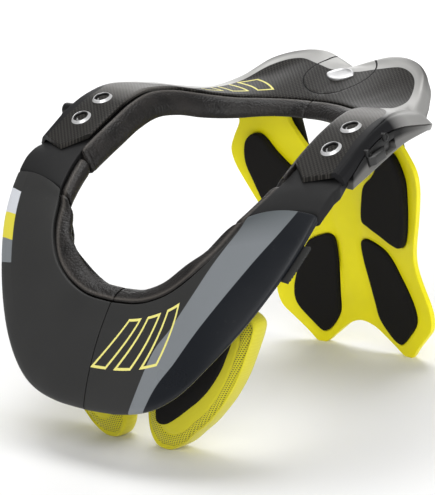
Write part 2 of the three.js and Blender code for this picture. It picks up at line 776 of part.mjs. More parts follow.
function frameTab() {
  return loft(placesFrom(tabStart, tabEnd, 4).map((place) => {
    const { toSpace, roll } = frontStation(place);
    const [outer, inner] = [0.18, -0.55].map((share) => (
      toSpace({ x: share * padThickness, y: roll.bottom - gap - frameWall * 0.5 })));
    const x = outer.x + tabSpread;
    const back = chestFront(x) + chestThickness + gap;
    const foot = tabFoot * chestHeight;
    const knee = foot + (outer.z - foot) * 0.8;
    const [nearFoot, farFoot] = [back, back + frameWall].map((y) => new THREE.Vector3(x, y, foot));
    const [nearKnee, farKnee] = [back, back + frameWall].map((y) => new THREE.Vector3(x, y, knee));
    const points = [outer, nearKnee, nearFoot, farFoot, farKnee, inner];
    return { flat: points.map(({ y, z }) => new THREE.Vector2(y, z)), points };
  }));
}

// Assembly

function frontFrame() {
  const half = ringSolid(coverPlaces, frontStation, frameProfile, 0);
  const side = joined([half, frameTab()]);
  return joined([side, mirrored(side, -1)]);
}

function buildSide(side, tag) {
  const add = (name, geometry, finish) => addPiece(`${name}_${tag}`, mirrored(geometry, side), finish);
  const seats = screwPlaces.map(screwSeat);
  const screwHoles = seats.map((seat) => (
    onSeat(uprightCylinder(screwDiameter + 2 * gap, screwLength + 6), seat, 5.5)));

  add('front_cover', frontCover(), 'mattePlastic');
  add('front_pad', frontPad(), 'leather');

  const linkAndTongue = (grow) => [
    ringSolid(linkPlaces, frontStation, linkProfile(grow)),
    ringSolid(tonguePlaces, rearStation, tongueProfile(grow)),
  ];
  add('side_link', cut(joined(linkAndTongue(0)), screwHoles), 'blackPlastic');

  const shell = ringSolid(shellPlaces, rearStation, shellProfile);
  add('rear_shell', cut(shell, [armTipCutter(), hubCylinder(gap), ...screwHoles]), 'carbon');

  const base = ringSolid(basePlaces, rearStation, baseProfile);
  add('rear_base', cut(base, [...linkAndTongue(gap), leverRecess(), ...screwHoles, post(gap),
    pinShaft(gap, leverHeight + 5)]), 'silverPaint');

  seats.forEach((seat, n) => {
    const which = n === 0 ? 'front' : 'rear';
    add(`eyelet_${which}`, onSeat(eyelet(), seat, gap), 'chrome');
    add(`screw_${which}`, onSeat(screw(), seat, 0.8), 'blackPlastic');
  });

  add('release_lever', lever(), 'blackPlastic');
  add('lever_pin', pinShaft(0, leverHeight + 4), 'chrome');

  add('side_pad', ringSolid(placesFrom(seamPlace + seamShare, sidePadEnd, 5), frontStation,
    padProfile), 'leather');
  add('rear_pad', ringSolid(placesFrom(rearPadStart, backPlace, 16), rearStation,
    padProfile), 'leather');

  add('stabilizer_post', post(0), 'blackPlastic');
  add('upper_insert', foamInsert(upperInsert, upperFoam), 'blackFoam');
  add('lower_insert', foamInsert(lowerInsert, lowerFoam), 'blackFoam');

  add('chest_pad', chestSlab(chestEdge, chestThickness, 0), 'yellowCloth');
  add('chest_panel', chestSlab(panelEdge, panelWall, -panelWall - gap), 'blackFoam');
}

buildSide(1, 'left');
buildSide(-1, 'right');
addPiece('front_frame', frontFrame(), 'blackPlastic');
addPiece('rear_hub', hub(), 'carbon');
addPiece('hub_badge', badge(), 'chrome');
addPiece('back_stabilizer', stabilizer(), 'yellowPlastic');

// The origin is under the middle of the brace, on the floor
const bounds = new THREE.Box3().setFromObject(brace);
const middle = bounds.getCenter(new THREE.Vector3());
brace.position.set(-middle.x, -middle.y, -bounds.min.z);

export default brace;
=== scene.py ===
import math

import bpy
from mathutils import Matrix, Vector, kdtree


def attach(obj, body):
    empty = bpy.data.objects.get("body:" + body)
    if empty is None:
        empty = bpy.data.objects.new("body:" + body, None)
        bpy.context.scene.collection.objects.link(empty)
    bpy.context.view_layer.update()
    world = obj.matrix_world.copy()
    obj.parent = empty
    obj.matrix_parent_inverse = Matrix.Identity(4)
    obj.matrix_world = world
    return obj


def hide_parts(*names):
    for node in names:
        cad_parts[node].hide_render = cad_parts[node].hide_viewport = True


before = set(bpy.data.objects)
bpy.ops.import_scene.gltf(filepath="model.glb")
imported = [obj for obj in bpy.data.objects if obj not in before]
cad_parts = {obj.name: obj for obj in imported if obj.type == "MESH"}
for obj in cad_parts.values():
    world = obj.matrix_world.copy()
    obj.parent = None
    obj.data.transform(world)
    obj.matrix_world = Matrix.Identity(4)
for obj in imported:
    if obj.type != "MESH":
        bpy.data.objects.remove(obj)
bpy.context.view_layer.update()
print("stage: frame loaded")

# The brace's own sizes, in metres: the wearer faces -Y and the wearer's left is +X
brace = {
    "halfWidth": 0.129,
    "frontReach": 0.165,
    "rearReach": 0.139,
    "armHeight": 0.205,
    "backShift": 0.012932,  # from the middle of the neck to the frame's origin
    "padThickness": 0.011,
    "gap": 0.0004,
    "seam": 0.0003,
    "rowStep": 0.0145,  # from one row of the tables to the next, near the seams
}

# Camera where the photograph was taken from, square to its own picture
camera = {
    "eye": (0.96463, -1.16908, 0.48761),
    "right": (0.772505, 0.633941, -0.036815),
    "up": (-0.126699, 0.210683, 0.969309),
    "back": (0.622241, -0.744132, 0.243073),
    "lens": 170.9,
}


# Node trees: a socket is given a value, or linked to the output of another node

def setSocket(tree, socket, value):
    if isinstance(value, bpy.types.NodeSocket):
        tree.links.new(value, socket)
    else:
        socket.default_value = value


def addNode(tree, kind, inputs, **settings):
    made = tree.nodes.new("ShaderNode" + kind)
    for name, value in settings.items():
        setattr(made, name, value)
    for name, value in inputs.items():
        setSocket(tree, made.inputs[name], value)
    return made.outputs


def calc(tree, operation, *values):
    return addNode(tree, "Math", dict(enumerate(values)), operation=operation)[0]


def times(tree, *values):
    return calc(tree, "MULTIPLY", *values)


def minus(tree, *values):
    return calc(tree, "SUBTRACT", *values)


def blendColour(tree, share, low, high):
    return addNode(tree, "Mix", {0: share, 6: low, 7: high}, data_type="RGBA")[2]


def rise(tree, value, low, high):
    return addNode(tree, "MapRange", {"Value": value, "From Min": low, "From Max": high})[0]


def within(tree, value, low, high):
    return times(tree, calc(tree, "GREATER_THAN", value, low), calc(tree, "LESS_THAN", value, high))


def distance(tree, aside, ahead):
    squares = calc(tree, "ADD", times(tree, aside, aside), times(tree, ahead, ahead))
    return calc(tree, "POWER", squares, 0.5)


def noise(tree, place, scale, detail, roughness=0.5):
    inputs = {"Vector": place, "Scale": scale, "Detail": detail, "Roughness": roughness}
    return addNode(tree, "TexNoise", inputs)[0]


def nodeGroup(name, build, **inputs):
    # build makes the nodes from the inputs, and gives the outputs by name
    group = bpy.data.node_groups.new(name, "ShaderNodeTree")
    for socketName, value in inputs.items():
        kind = "NodeSocketVector" if value is None else "NodeSocketFloat"
        socket = group.interface.new_socket(name=socketName, in_out="INPUT", socket_type=kind)
        if value is not None:
            socket.default_value = value
    given = group.nodes.new("NodeGroupInput").outputs
    made = build(group, *[given[socketName] for socketName in inputs])
    for socketName in made:
        group.interface.new_socket(name=socketName, in_out="OUTPUT", socket_type="NodeSocketFloat")
    ends = group.nodes.new("NodeGroupOutput").inputs
    for socketName, value in made.items():
        group.links.new(value, ends[socketName])
    return group


# Moulded grain: fine pits, and slow changes of tone and wear across the part
def grainNodes(tree, place, pits, clouds):
    return {
        "Height": noise(tree, place, pits, 2.0),
        "Tone": rise(tree, noise(tree, place, clouds, 3.0), 0.3, 0.7),
        "Wear": rise(tree, noise(tree, place, 260.0, 4.0, 0.7), 0.62, 0.78),
    }


# Weave: each thread passes over one other and under the next
def weaveNodes(tree, place, thread):
    across, along, _ = addNode(tree, "SeparateXYZ", {0: place})
    threads = [calc(tree, "DIVIDE", value, thread) for value in (across, along)]
    count = calc(tree, "ADD", *[calc(tree, "FLOOR", value) for value in threads])
    isOver = calc(tree, "LESS_THAN", calc(tree, "FLOORED_MODULO", count, 2.0), 0.5)
    rounds = [calc(tree, "SINE", times(tree, calc(tree, "FRACT", value), math.pi)) for value in threads]
    height = addNode(tree, "Mix", {0: isOver, 2: rounds[1], 3: rounds[0]})[0]
    # Shade is the weave's own pattern drawn as painted light: each thread lighter along its round top, and those
    # lying over lighter than those under
    return {"Shade": times(tree, height, calc(tree, "MULTIPLY_ADD", isOver, 0.85, 0.05)), "Height": height}


# Fine cloth: a plain weave of round threads
def clothNodes(tree, place, thread):
    across, _, up = addNode(tree, "SeparateXYZ", {0: place})
    ribs = [calc(tree, "SINE", times(tree, calc(tree, "DIVIDE", value, thread), math.pi))
            for value in (across, up)]
    return {"Height": calc(tree, "ABSOLUTE", times(tree, *ribs))}


# Leather: small cells with soft edges, and shallow creases
def leatherNodes(tree, place, cells):
    grain = addNode(tree, "TexVoronoi", {"Vector": place, "Scale": cells}, feature="SMOOTH_F1")[0]
    creases = noise(tree, place, 60.0, 4.0)
    return {"Height": calc(tree, "MULTIPLY_ADD", grain, -0.8, creases), "Tone": rise(tree, creases, 0.35, 0.65)}


# Perforation: round holes in staggered rows
def holeNodes(tree, place, pitch):
    across, _, up = addNode(tree, "SeparateXYZ", {0: place})
    row = calc(tree, "DIVIDE", up, times(tree, pitch, 0.866))
    shift = times(tree, calc(tree, "FLOORED_MODULO", calc(tree, "FLOOR", row), 2.0), 0.5)
    column = calc(tree, "ADD", calc(tree, "DIVIDE", across, pitch), shift)
    fromMiddle = [minus(tree, calc(tree, "FRACT", value), 0.5) for value in (column, row)]
    return {"Holes": rise(tree, distance(tree, *fromMiddle), 0.34, 0.24)}


# Motif: three slanted bars, each drawn as an outline, in metres along and across
def barNodes(tree, along, across, start, pitch, low, high, line):
    share = calc(tree, "DIVIDE", minus(tree, calc(tree, "MULTIPLY_ADD", across, 0.7, along), start), pitch)
    local = times(tree, calc(tree, "FRACT", share), pitch)
    fromSide = calc(tree, "MINIMUM", local, minus(tree, times(tree, pitch, 0.68), local))
    fromEnd = calc(tree, "MINIMUM", minus(tree, across, low), minus(tree, high, across))
    fromEdge = calc(tree, "MINIMUM", fromSide, fromEnd)
    return {"Mask": times(tree, within(tree, fromEdge, 0.0, line), within(tree, share, 0.0, 3.0))}


softGrain = nodeGroup("softGrain", grainNodes, Coordinates=None, Pits=2600.0, Clouds=22.0)
plainWeave = nodeGroup("plainWeave", weaveNodes, Coordinates=None, Thread=0.0015)
fineCloth = nodeGroup("fineCloth", clothNodes, Coordinates=None, Thread=0.0008)
leatherGrain = nodeGroup("leatherGrain", leatherNodes, Coordinates=None, Cells=700.0)
perforation = nodeGroup("perforation", holeNodes, Coordinates=None, Pitch=0.0022)
slantedBars = nodeGroup("slantedBars", barNodes, Along=0.0, Across=0.0, Start=0.05, Pitch=0.012,
                        Low=0.01, High=0.03, Line=0.0012)


class Paint:
    # a material being made: its tree, its shader and the object's own coordinates
    def __init__(self, name, colour, roughness, metallic=0.0, **shader):
        self.material = bpy.data.materials.new(name)
        self.material.use_nodes = True
        self.tree = self.material.node_tree
        self.shader = self.tree.nodes["Principled BSDF"]
        self.place = addNode(self.tree, "TexCoord", {})["Object"]
        self.colour = (*colour, 1)
        values = {"Base_Color": self.colour, "Roughness": roughness, "Metallic": metallic, **shader}
        for socket, value in values.items():
            self.setValue(socket.replace("_", " "), value)

    def setValue(self, socket, value):
        setSocket(self.tree, self.shader.inputs[socket], value)

    def mark(self, name):
        return addNode(self.tree, "Attribute", {}, attribute_name=name)["Fac"]

    def ramp(self, name, low, high):
        return rise(self.tree, self.mark(name), low, high)

    def effect(self, group, **inputs):
        return addNode(self.tree, "Group", {"Coordinates": self.place, **inputs}, node_tree=group)

    def bars(self, **sizes):
        marks = {"Along": self.mark("along"), "Across": self.mark("across")}
        return addNode(self.tree, "Group", {**marks, **sizes}, node_tree=slantedBars)["Mask"]

    def over(self, mask, colour, share=1.0):
        if share < 1:
            mask = times(self.tree, mask, share)
        if not isinstance(colour, bpy.types.NodeSocket):
            colour = (*colour, 1)
        self.colour = blendColour(self.tree, mask, self.colour, colour)
        self.setValue("Base Color", self.colour)

    def polish(self, tone, spread, base):
        self.setValue("Roughness", calc(self.tree, "MULTIPLY_ADD", tone, spread, base))

    def bump(self, height, distance, strength=0.5):
        inputs = {"Height": height, "Distance": distance, "Strength": strength}
        self.setValue("Normal", addNode(self.tree, "Bump", inputs)[0])


def grained(name, colour, roughness, metallic=0.0, pits=2600.0, depth=0.00006, spread=0.12, **shader):
    # moulded or painted surface with fine grain, uneven polish and light wear
    paint = Paint(name, colour, roughness, metallic, **shader)
    grain = paint.effect(softGrain, Pits=pits)
    paint.over(grain["Tone"], [c * 1.35 for c in colour], 0.35)
    paint.over(grain["Wear"], [min(c * 1.8 + 0.02, 1) for c in colour], 0.25)
    paint.polish(grain["Tone"], spread, roughness - spread / 2)
    paint.bump(grain["Height"], depth)
    return paint


blackPlastic = grained("blackPlastic", (0.010, 0.010, 0.0103), 0.6, Specular_IOR_Level=0.22)
leverPlastic = grained("leverPlastic", (0.020, 0.020, 0.0195), 0.34)
postPlastic = grained("postPlastic", (0.010, 0.010, 0.011), 0.5)
yellowPlastic = grained("yellowPlastic", (0.88, 0.79, 0.003), 0.45, pits=1800.0, depth=0.00004,
                        Specular_IOR_Level=0.3)
blackScrew = grained("blackScrew", (0.004, 0.004, 0.0042), 0.4, pits=4000.0, depth=0.00001,
                     Specular_IOR_Level=0.2)
# painted highlight: a bright ring on the top of the screw head, round its socket
blackScrew.over(blackScrew.mark("rim"), (0.42, 0.42, 0.42))
eyeletMetal = grained("eyeletMetal", (0.72, 0.72, 0.72), 0.35, 0.55, pits=5000.0, depth=0.00001, spread=0.08)
eyeletMetal.over(eyeletMetal.mark("shade"), (0.01, 0.01, 0.01))

silverPaint = Paint("silverPaint", (0.17, 0.168, 0.162), 0.42, 0.4)
grain = silverPaint.effect(softGrain, Pits=3400.0)
silverPaint.over(grain["Tone"], (0.22, 0.216, 0.205), 0.4)
# a little darker towards the front end of the arm, and black on its upper flank
silverPaint.over(silverPaint.ramp("place", 4.0, 1.0), (0.14, 0.137, 0.13))
silverPaint.over(times(silverPaint.tree, silverPaint.ramp("place", 5.0, 3.8), silverPaint.ramp("down", 0.60, 0.35)),
                 (0.006, 0.006, 0.0062))
silverPaint.polish(grain["Tone"], 0.1, 0.36)
silverPaint.bump(grain["Height"], 0.00002)

brightMetal = Paint("brightMetal", (0.50, 0.50, 0.505), 0.3, 0.8)
tone = brightMetal.effect(softGrain, Clouds=90.0)["Tone"]
brightMetal.over(tone, (0.64, 0.64, 0.65), 0.4)
brightMetal.polish(tone, 0.12, 0.28)

blackFoam = Paint("blackFoam", (0.0055, 0.005, 0.005), 0.85, Specular_IOR_Level=0.2)
thread = blackFoam.effect(fineCloth, Thread=0.0007)["Height"]
blackFoam.over(thread, (0.013, 0.012, 0.0115), 0.6)
blackFoam.bump(thread, 0.00008, 0.6)

padLeather = Paint("padLeather", (0.007, 0.0063, 0.006), 0.46, Specular_IOR_Level=0.3)
grain = padLeather.effect(leatherGrain)
padLeather.over(grain["Tone"], (0.020, 0.017, 0.0155), 0.7)
# painted highlight along the piping at the top of the roll
padLeather.over(padLeather.mark("pipingHighlight"), (0.085, 0.076, 0.068), 0.85)
padLeather.polish(grain["Tone"], 0.14, 0.40)
padLeather.bump(grain["Height"], 0.0006, 0.8)

yellowCloth = Paint("yellowCloth", (0.70, 0.63, 0.010), 0.8, Sheen_Weight=0.25, Sheen_Roughness=0.5)
thread = yellowCloth.effect(fineCloth, Thread=0.0009)["Height"]
yellowCloth.over(thread, (0.80, 0.74, 0.020), 0.5)
holes = times(yellowCloth.tree, yellowCloth.effect(perforation, Pitch=0.0016)["Holes"],
              yellowCloth.ramp("meshBand", 0.4, 0.6))
yellowCloth.over(holes, (0.050, 0.046, 0.010), 0.9)
yellowCloth.bump(calc(yellowCloth.tree, "MULTIPLY_ADD", holes, -2.0, thread), 0.00012, 0.6)

inks = {
    "pale": (0.80, 0.74, 0.22), "slate": (0.19, 0.205, 0.218), "darkSlate": (0.092, 0.104, 0.110),
    "blueBlack": (0.006, 0.0075, 0.0105), "white": (0.62, 0.64, 0.68), "yellow": (0.72, 0.64, 0.06),
    "blur": 0.0002,  # half the width of a printed edge
}
# bands down the edge of the right cover, by place along it
sideInks = [(6.33, 7.12, "white"), (5.62, 6.33, "yellow"), (5.10, 5.62, "slate")]


def stripes(paint):
    inside, outside = [paint.ramp(mark, -inks["blur"], inks["blur"]) for mark in ("fromStripe", "fromBlack")]
    ends = [(*inks[name], 1) for name in ("slate", "darkSlate")]
    paint.over(inside, blendColour(paint.tree, paint.ramp("bandPlace", 6.8, 8.4), *ends))
    paint.over(outside, inks["blueBlack"])
    paint.over(paint.bars(Start=0.030, Pitch=0.0175, Low=0.010, High=0.043, Line=0.0017), inks["pale"])
    return inside


def sideBands(paint):
    atEdge, along = paint.ramp("fromBand", -inks["blur"], inks["blur"]), paint.mark("bandPlace")
    for low, high, ink in sideInks:
        paint.over(times(paint.tree, within(paint.tree, along, low, high), atEdge), inks[ink])
    return times(paint.tree, atEdge, 0.5)


def coverPaint(name, drawOn):
    # soft-touch black: drawOn lays the inks, and says where the cover is glossier
    paint = Paint(name, (0.024, 0.024, 0.0235), 0.55, Specular_IOR_Level=0.28)
    grain = paint.effect(softGrain)
    paint.over(grain["Tone"], (0.034, 0.034, 0.033), 0.35)
    gloss = drawOn(paint)
    paint.over(grain["Wear"], (0.09, 0.09, 0.09), 0.15)
    paint.polish(gloss, -0.2, calc(paint.tree, "MULTIPLY_ADD", grain["Tone"], 0.1, 0.47))
    paint.bump(grain["Height"], 0.00005, 0.4)
    return paint


coverLeftPaint = coverPaint("coverLeftPaint", stripes)
coverRightPaint = coverPaint("coverRightPaint", sideBands)


def shellPaint(name, motif):
    # woven fibre inside the paint line, glossy black on the arm's flank, silver from there back
    paint = Paint(name, (0.005, 0.0047, 0.0042), 0.5, Specular_IOR_Level=0.12)
    tree, weave, tone = paint.tree, paint.effect(plainWeave), paint.effect(softGrain)["Tone"]
    # painted light on the weave: each thread lit along its round top
    paint.over(weave["Shade"], (0.050, 0.046, 0.041))
    paint.over(tone, (0.035, 0.032, 0.028), 0.2)
    # painted highlight: the threads pale over the shoulder of the arm, where it catches the light
    shoulderHighlight = times(tree, paint.ramp("place", 2.7, 3.7), paint.ramp("place", 5.4, 4.4))
    paint.over(shoulderHighlight, (0.25, 0.24, 0.225), 0.45)
    painted = paint.ramp("fromWeave", -0.00015, 0.00015)
    silver = times(tree, painted, paint.ramp("place", 3.5, 4.3))
    if motif:
        paint.over(paint.bars(Start=0.150, Pitch=0.020, Low=0.009, High=0.034, Line=0.0016), inks["pale"])
    paint.over(painted, (0.010, 0.010, 0.011))
    paint.over(silver, (0.40, 0.396, 0.385))
    # shaded on the outer slope before the ears
    slope = times(tree, paint.ramp("place", 8.2, 9.0), paint.ramp("place", 11.0, 9.8))
    shaded = times(tree, paint.ramp("pastRidge", -0.7, 0.1), slope)
    paint.over(times(tree, shaded, silver), (0.075, 0.073, 0.069), 0.85)
    # painted shade: dark in the groove round the hub
    seat = hubPlace()
    mapping = {"Vector": paint.place, "Location": seat.to_translation(), "Rotation": seat.to_euler()}
    fromHub = addNode(tree, "Mapping", mapping, vector_type="TEXTURE")[0]
    aside, ahead, _ = addNode(tree, "SeparateXYZ", {0: fromHub})
    fromGroove = minus(tree, distance(tree, aside, ahead), hub["diameter"] / 2 + brace["gap"] / 2)
    paint.over(rise(tree, calc(tree, "ABSOLUTE", fromGroove), 0.0008, 0.0005), (0.004, 0.004, 0.004))
    paint.setValue("Metallic", times(tree, silver, 0.5))
    paint.polish(tone, 0.08, 0.42)
    paint.bump(times(tree, weave["Height"], minus(tree, 1.0, painted)), 0.00012)
    return paint


print("stage: materials")


def editAll():
    bpy.ops.object.mode_set(mode="EDIT")
    bpy.ops.mesh.select_all(action="SELECT")


def leaveEdit():
    bpy.ops.object.mode_set(mode="OBJECT")


def deselectAll():
    bpy.ops.object.select_all(action="DESELECT")


def only(piece):
    deselectAll()
    piece.select_set(True)
    bpy.context.view_layer.objects.active = piece


def applyModifier(piece, kind, **settings):
    only(piece)
    modifier = piece.modifiers.new(kind.lower(), kind)
    for name, value in settings.items():
        setattr(modifier, name, value)
    bpy.ops.object.modifier_apply(modifier=modifier.name)


def bevelled(piece, width, segments, degrees):
    # round the edges that are sharper than so many degrees
    applyModifier(piece, "BEVEL", width=width, segments=segments, limit_method="ANGLE",
                  angle_limit=math.radians(degrees))


def cutAway(piece, cutters, operation="DIFFERENCE"):
    for cutter in cutters:
        applyModifier(piece, "BOOLEAN", operation=operation, object=cutter, solver="EXACT")


def discard(pieces):
    deselectAll()
    for piece in pieces:
        piece.select_set(True)
    bpy.ops.object.delete()


def mirroredCopy(piece):
    only(piece)
    bpy.ops.object.duplicate()
    copy = bpy.context.object
    copy.name = piece.name.replace("Left", "Right")
    copy.data.transform(Matrix.Scale(-1, 4, (1, 0, 0)))
    editAll()
    bpy.ops.mesh.flip_normals()
    leaveEdit()
    return copy


def joined(piece, added):
    only(piece)
    added.select_set(True)
    bpy.ops.object.join()


def finishPiece(piece, body, node, paint, degrees=35):
    only(piece)
    bpy.ops.object.shade_smooth_by_angle(angle=math.radians(degrees))
    piece.data.materials.clear()
    piece.data.materials.append(paint.material)
    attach(piece, body)
    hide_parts(node)


def finishPair(left, body, node, paint, right=None, rightPaint=None, degrees=35):
    # the piece and its mirrored copy, or the right one given
    right = right or mirroredCopy(left)
    for piece, side, look in ((left, "left", paint), (right, "right", rightPaint or paint)):
        finishPiece(piece, body.format(side=side), f"{node}_{side}", look, degrees)


def smoothRow(rows, place):
    last = len(rows) - 1
    start = min(max(int(place), 0), last - 1)
    t = place - start
    near = [rows[min(max(start + step, 0), last)] for step in (-1, 0, 1, 2)]
    made = []
    for before, low, high, after in zip(*near):
        leave, arrive = (high - before) / 2, (after - low) / 2
        bend = 2 * low - 2 * high + leave + arrive
        made.append(low + leave * t + (3 * high - 3 * low - 2 * leave - arrive) * t ** 2 + bend * t ** 3)
    return made

def smoothValue(values, place):
    return smoothRow([[value] for value in values], place)[0]


def fade(value, low, high):
    return min(max((value - low) / (high - low), 0), 1)


def steps(first, last, count):
    return [first + (last - first) * n / count for n in range(count + 1)]


def pointFrom(across, along, up):
    reach = brace["frontReach"] if along < 0 else brace["rearReach"]
    return Vector((across * brace["halfWidth"], along * reach + brace["backShift"], up * brace["armHeight"]))


# inner and outer edge of the front of the collar: across, along, up
frontRow = [
    [0.000, -0.815, 0.481, 0.000, -1.000, 0.180],
    [0.136, -0.815, 0.487, 0.208, -0.997, 0.187],
    [0.233, -0.806, 0.501, 0.388, -0.973, 0.211],
    [0.333, -0.789, 0.529, 0.533, -0.932, 0.265],
    [0.419, -0.764, 0.569, 0.664, -0.872, 0.355],
    [0.490, -0.720, 0.618, 0.796, -0.778, 0.474],
    [0.547, -0.661, 0.668, 0.900, -0.673, 0.605],
    [0.587, -0.596, 0.720, 0.950, -0.588, 0.698],
    [0.608, -0.560, 0.754, 0.971, -0.503, 0.779],
    [0.648, -0.461, 0.807, 0.982, -0.424, 0.829],
    [0.671, -0.364, 0.851, 0.955, -0.345, 0.851],
    [0.672, -0.265, 0.890, 0.935, -0.265, 0.890],
]

# inner edge and turn of the rear, then crease, ridge, rim and lip as out and up
rearRow = [
    [0.674, -0.424, 0.851, 0, 0.256, 0.851, 0.279, 0.844, 0.316, 0.810, 0.310, 0.780],
    [0.668, -0.315, 0.897, 0, 0.271, 0.900, 0.291, 0.895, 0.323, 0.862, 0.322, 0.815],
    [0.662, -0.206, 0.940, 0, 0.281, 0.948, 0.298, 0.943, 0.324, 0.922, 0.338, 0.850],
    [0.661, -0.091, 0.979, 0, 0.271, 0.985, 0.295, 0.980, 0.325, 0.960, 0.342, 0.885],
    [0.655, 0.029, 1.000, 2, 0.246, 1.004, 0.295, 0.995, 0.332, 0.968, 0.345, 0.915],
    [0.624, 0.173, 0.992, 14, 0.205, 0.992, 0.315, 0.978, 0.360, 0.950, 0.358, 0.926],
    [0.566, 0.288, 0.973, 28, 0.195, 0.968, 0.285, 0.950, 0.334, 0.925, 0.324, 0.900],
    [0.488, 0.374, 0.956, 42, 0.200, 0.955, 0.275, 0.946, 0.320, 0.918, 0.305, 0.893],
    [0.399, 0.446, 0.945, 54, 0.245, 0.958, 0.340, 0.972, 0.385, 0.935, 0.355, 0.905],
    [0.310, 0.493, 0.943, 64, 0.295, 0.980, 0.430, 1.026, 0.475, 0.970, 0.430, 0.930],
    [0.225, 0.532, 0.942, 73, 0.310, 1.006, 0.455, 1.050, 0.502, 0.990, 0.450, 0.948],
    [0.147, 0.558, 0.941, 80, 0.315, 1.016, 0.430, 1.052, 0.480, 0.992, 0.430, 0.955],
    [0.078, 0.573, 0.940, 86, 0.310, 1.013, 0.390, 1.034, 0.436, 0.982, 0.400, 0.950],
    [0.000, 0.577, 0.939, 90, 0.310, 1.010, 0.360, 1.012, 0.400, 0.974, 0.378, 0.945],
]
# neck roll inside the front and the rear: thick, top and bottom, as shares of padThickness
frontRoll = [
    [1.00, -0.09, -1.23], [1.00, -0.09, -1.23], [1.00, -0.10, -1.25], [1.00, -0.12, -1.28],
    [1.02, -0.16, -1.34], [1.06, -0.20, -1.38], [1.08, -0.22, -1.38], [1.06, -0.22, -1.36],
    [1.00, -0.22, -1.34], [0.94, -0.22, -1.32], [0.90, -0.22, -1.32], [0.90, -0.22, -1.32],
]
rearRoll = [
    [0.92, -0.30, -1.86], [0.92, -0.30, -1.86], [0.94, -0.30, -1.84], [0.96, -0.28, -1.80],
    [0.98, -0.26, -1.78], [1.00, -0.22, -1.74], [1.00, -0.20, -1.70], [1.00, -0.17, -1.52],
    [1.00, -0.15, -1.34], [1.00, -0.14, -1.22], [1.00, -0.14, -1.16], [1.00, -0.14, -1.14],
    [1.00, -0.14, -1.14], [1.00, -0.14, -1.14],
]
seamPlace = 8  # the side seam, along the front table
backPlace = 13  # the middle of the back, along the rear table
seamStep = 0.03  # part of a row left free on both sides of the side seam


class Station:
    # a place along the collar: its inner edge, the way out from there, and the slope
    def __init__(self, place, inner, out, slope, middle):
        self.place, self.inner, self.out, self.slope, self.middle = place, inner, out, slope, middle

    def toSpace(self, run, lift, middle=brace["seam"] / 2):
        out = run * math.cos(self.slope) + lift * math.sin(self.slope)
        return Vector((
            max(self.inner.x + self.out[0] * out, middle),
            self.inner.y + self.out[1] * out,
            self.inner.z - run * math.sin(self.slope) + lift * math.cos(self.slope),
        ))


def frontStation(place):
    row = smoothRow(frontRow, place)
    inner, outer = pointFrom(*row[:3]), pointFrom(*row[3:])
    flat = Vector((outer.x - inner.x, outer.y - inner.y))
    width, slope = (outer - inner).length, math.atan2(inner.z - outer.z, flat.length)
    station = Station(place, inner, flat.normalized(), slope, width / 2)
    station.width, station.round = width, fade(place, 4.5, 7.0)
    station.roll = [share * brace["padThickness"] for share in smoothRow(frontRoll, place)]
    return station


def rearStation(place):
    row = smoothRow(rearRow, place)
    inner, turn = pointFrom(*row[:3]), math.radians(row[3])
    station = Station(place, inner, (math.cos(turn), math.sin(turn)), 0, 0.02)
    spots = [Vector((out * brace["halfWidth"], up * brace["armHeight"] - inner.z))
             for out, up in zip(row[4::2], row[5::2])]
    station.crease, station.ridge, station.rim, station.lip = spots
    station.round = 0
    station.roll = [share * brace["padThickness"] for share in smoothRow(rearRoll, place)]
    return station


def neighbours(ring):
    return zip(ring[-1:] + ring[:-1], ring, ring[1:] + ring[:1])


def insetRing(ring, depth):
    if not depth:
        return ring
    area = sum(a.x * b.y - b.x * a.y for a, b in zip(ring, ring[1:] + ring[:1]))
    turn = 1 if area > 0 else -1
    made = []
    for before, spot, after in neighbours(ring):
        along = (after - before).normalized()
        made.append(spot + Vector((-along.y, along.x)) * turn * depth)
    return made


def softRing(corners, arc=5):
    # corners are (x, y, radius): a rounded corner becomes an arc of points
    made = []
    for before, corner, after in neighbours(corners):
        spot, radius = Vector(corner[:2]), corner[2]
        if not radius:
            made.append(spot)
            continue
        toBefore, toAfter = Vector(before[:2]) - spot, Vector(after[:2]) - spot
        reach = min(radius, toBefore.length * 0.49, toAfter.length * 0.49)
        start, end = spot + toBefore.normalized() * reach, spot + toAfter.normalized() * reach
        for t in steps(0, 1, arc):
            made.append(start * (1 - t) ** 2 + spot * 2 * t * (1 - t) + end * t ** 2)
    return made


def through(spots, count):
    # a smooth line through the spots, count samples from each to the next
    rows = [tuple(spot) for spot in spots]
    line = [Vector(smoothRow(rows, n + k / count)) for n in range(len(rows) - 1) for k in range(count)]
    return [*line, spots[-1]]


def closedLine(shares, scaleX, scaleY, grow=0.0, count=5):
    # a smooth closed line through the outline's shares
    spots = [Vector((x * scaleX, y * scaleY)) for x, y in shares]
    line = through(spots[-2:] + spots + spots[:3], count)
    return insetRing(line[2 * count:(len(spots) + 2) * count], -grow)


def sweptRings(stationAt, ringOf, first, last, count, radius=0.0006, middle=brace["seam"] / 2):
    # rings from the first place to the last, drawn in at both ends by a small radius
    edge = [share * radius / brace["rowStep"] for share in (0, 0.15, 0.5, 1.0)] if radius else [0]
    places = [first + e for e in edge] + steps(first, last, count)[1:-1] + [last - e for e in reversed(edge)]
    flats, rings = [], []
    for place in places:
        station = stationAt(place)
        near = min(place - first, last - place) * brace["rowStep"]
        depth = radius - math.sqrt(max(radius ** 2 - (radius - near) ** 2, 0)) if near < radius else 0
        flats.append(insetRing(ringOf(station), depth))
        rings.append([station.toSpace(*spot, middle) for spot in flats[-1]])
    return places, flats, rings


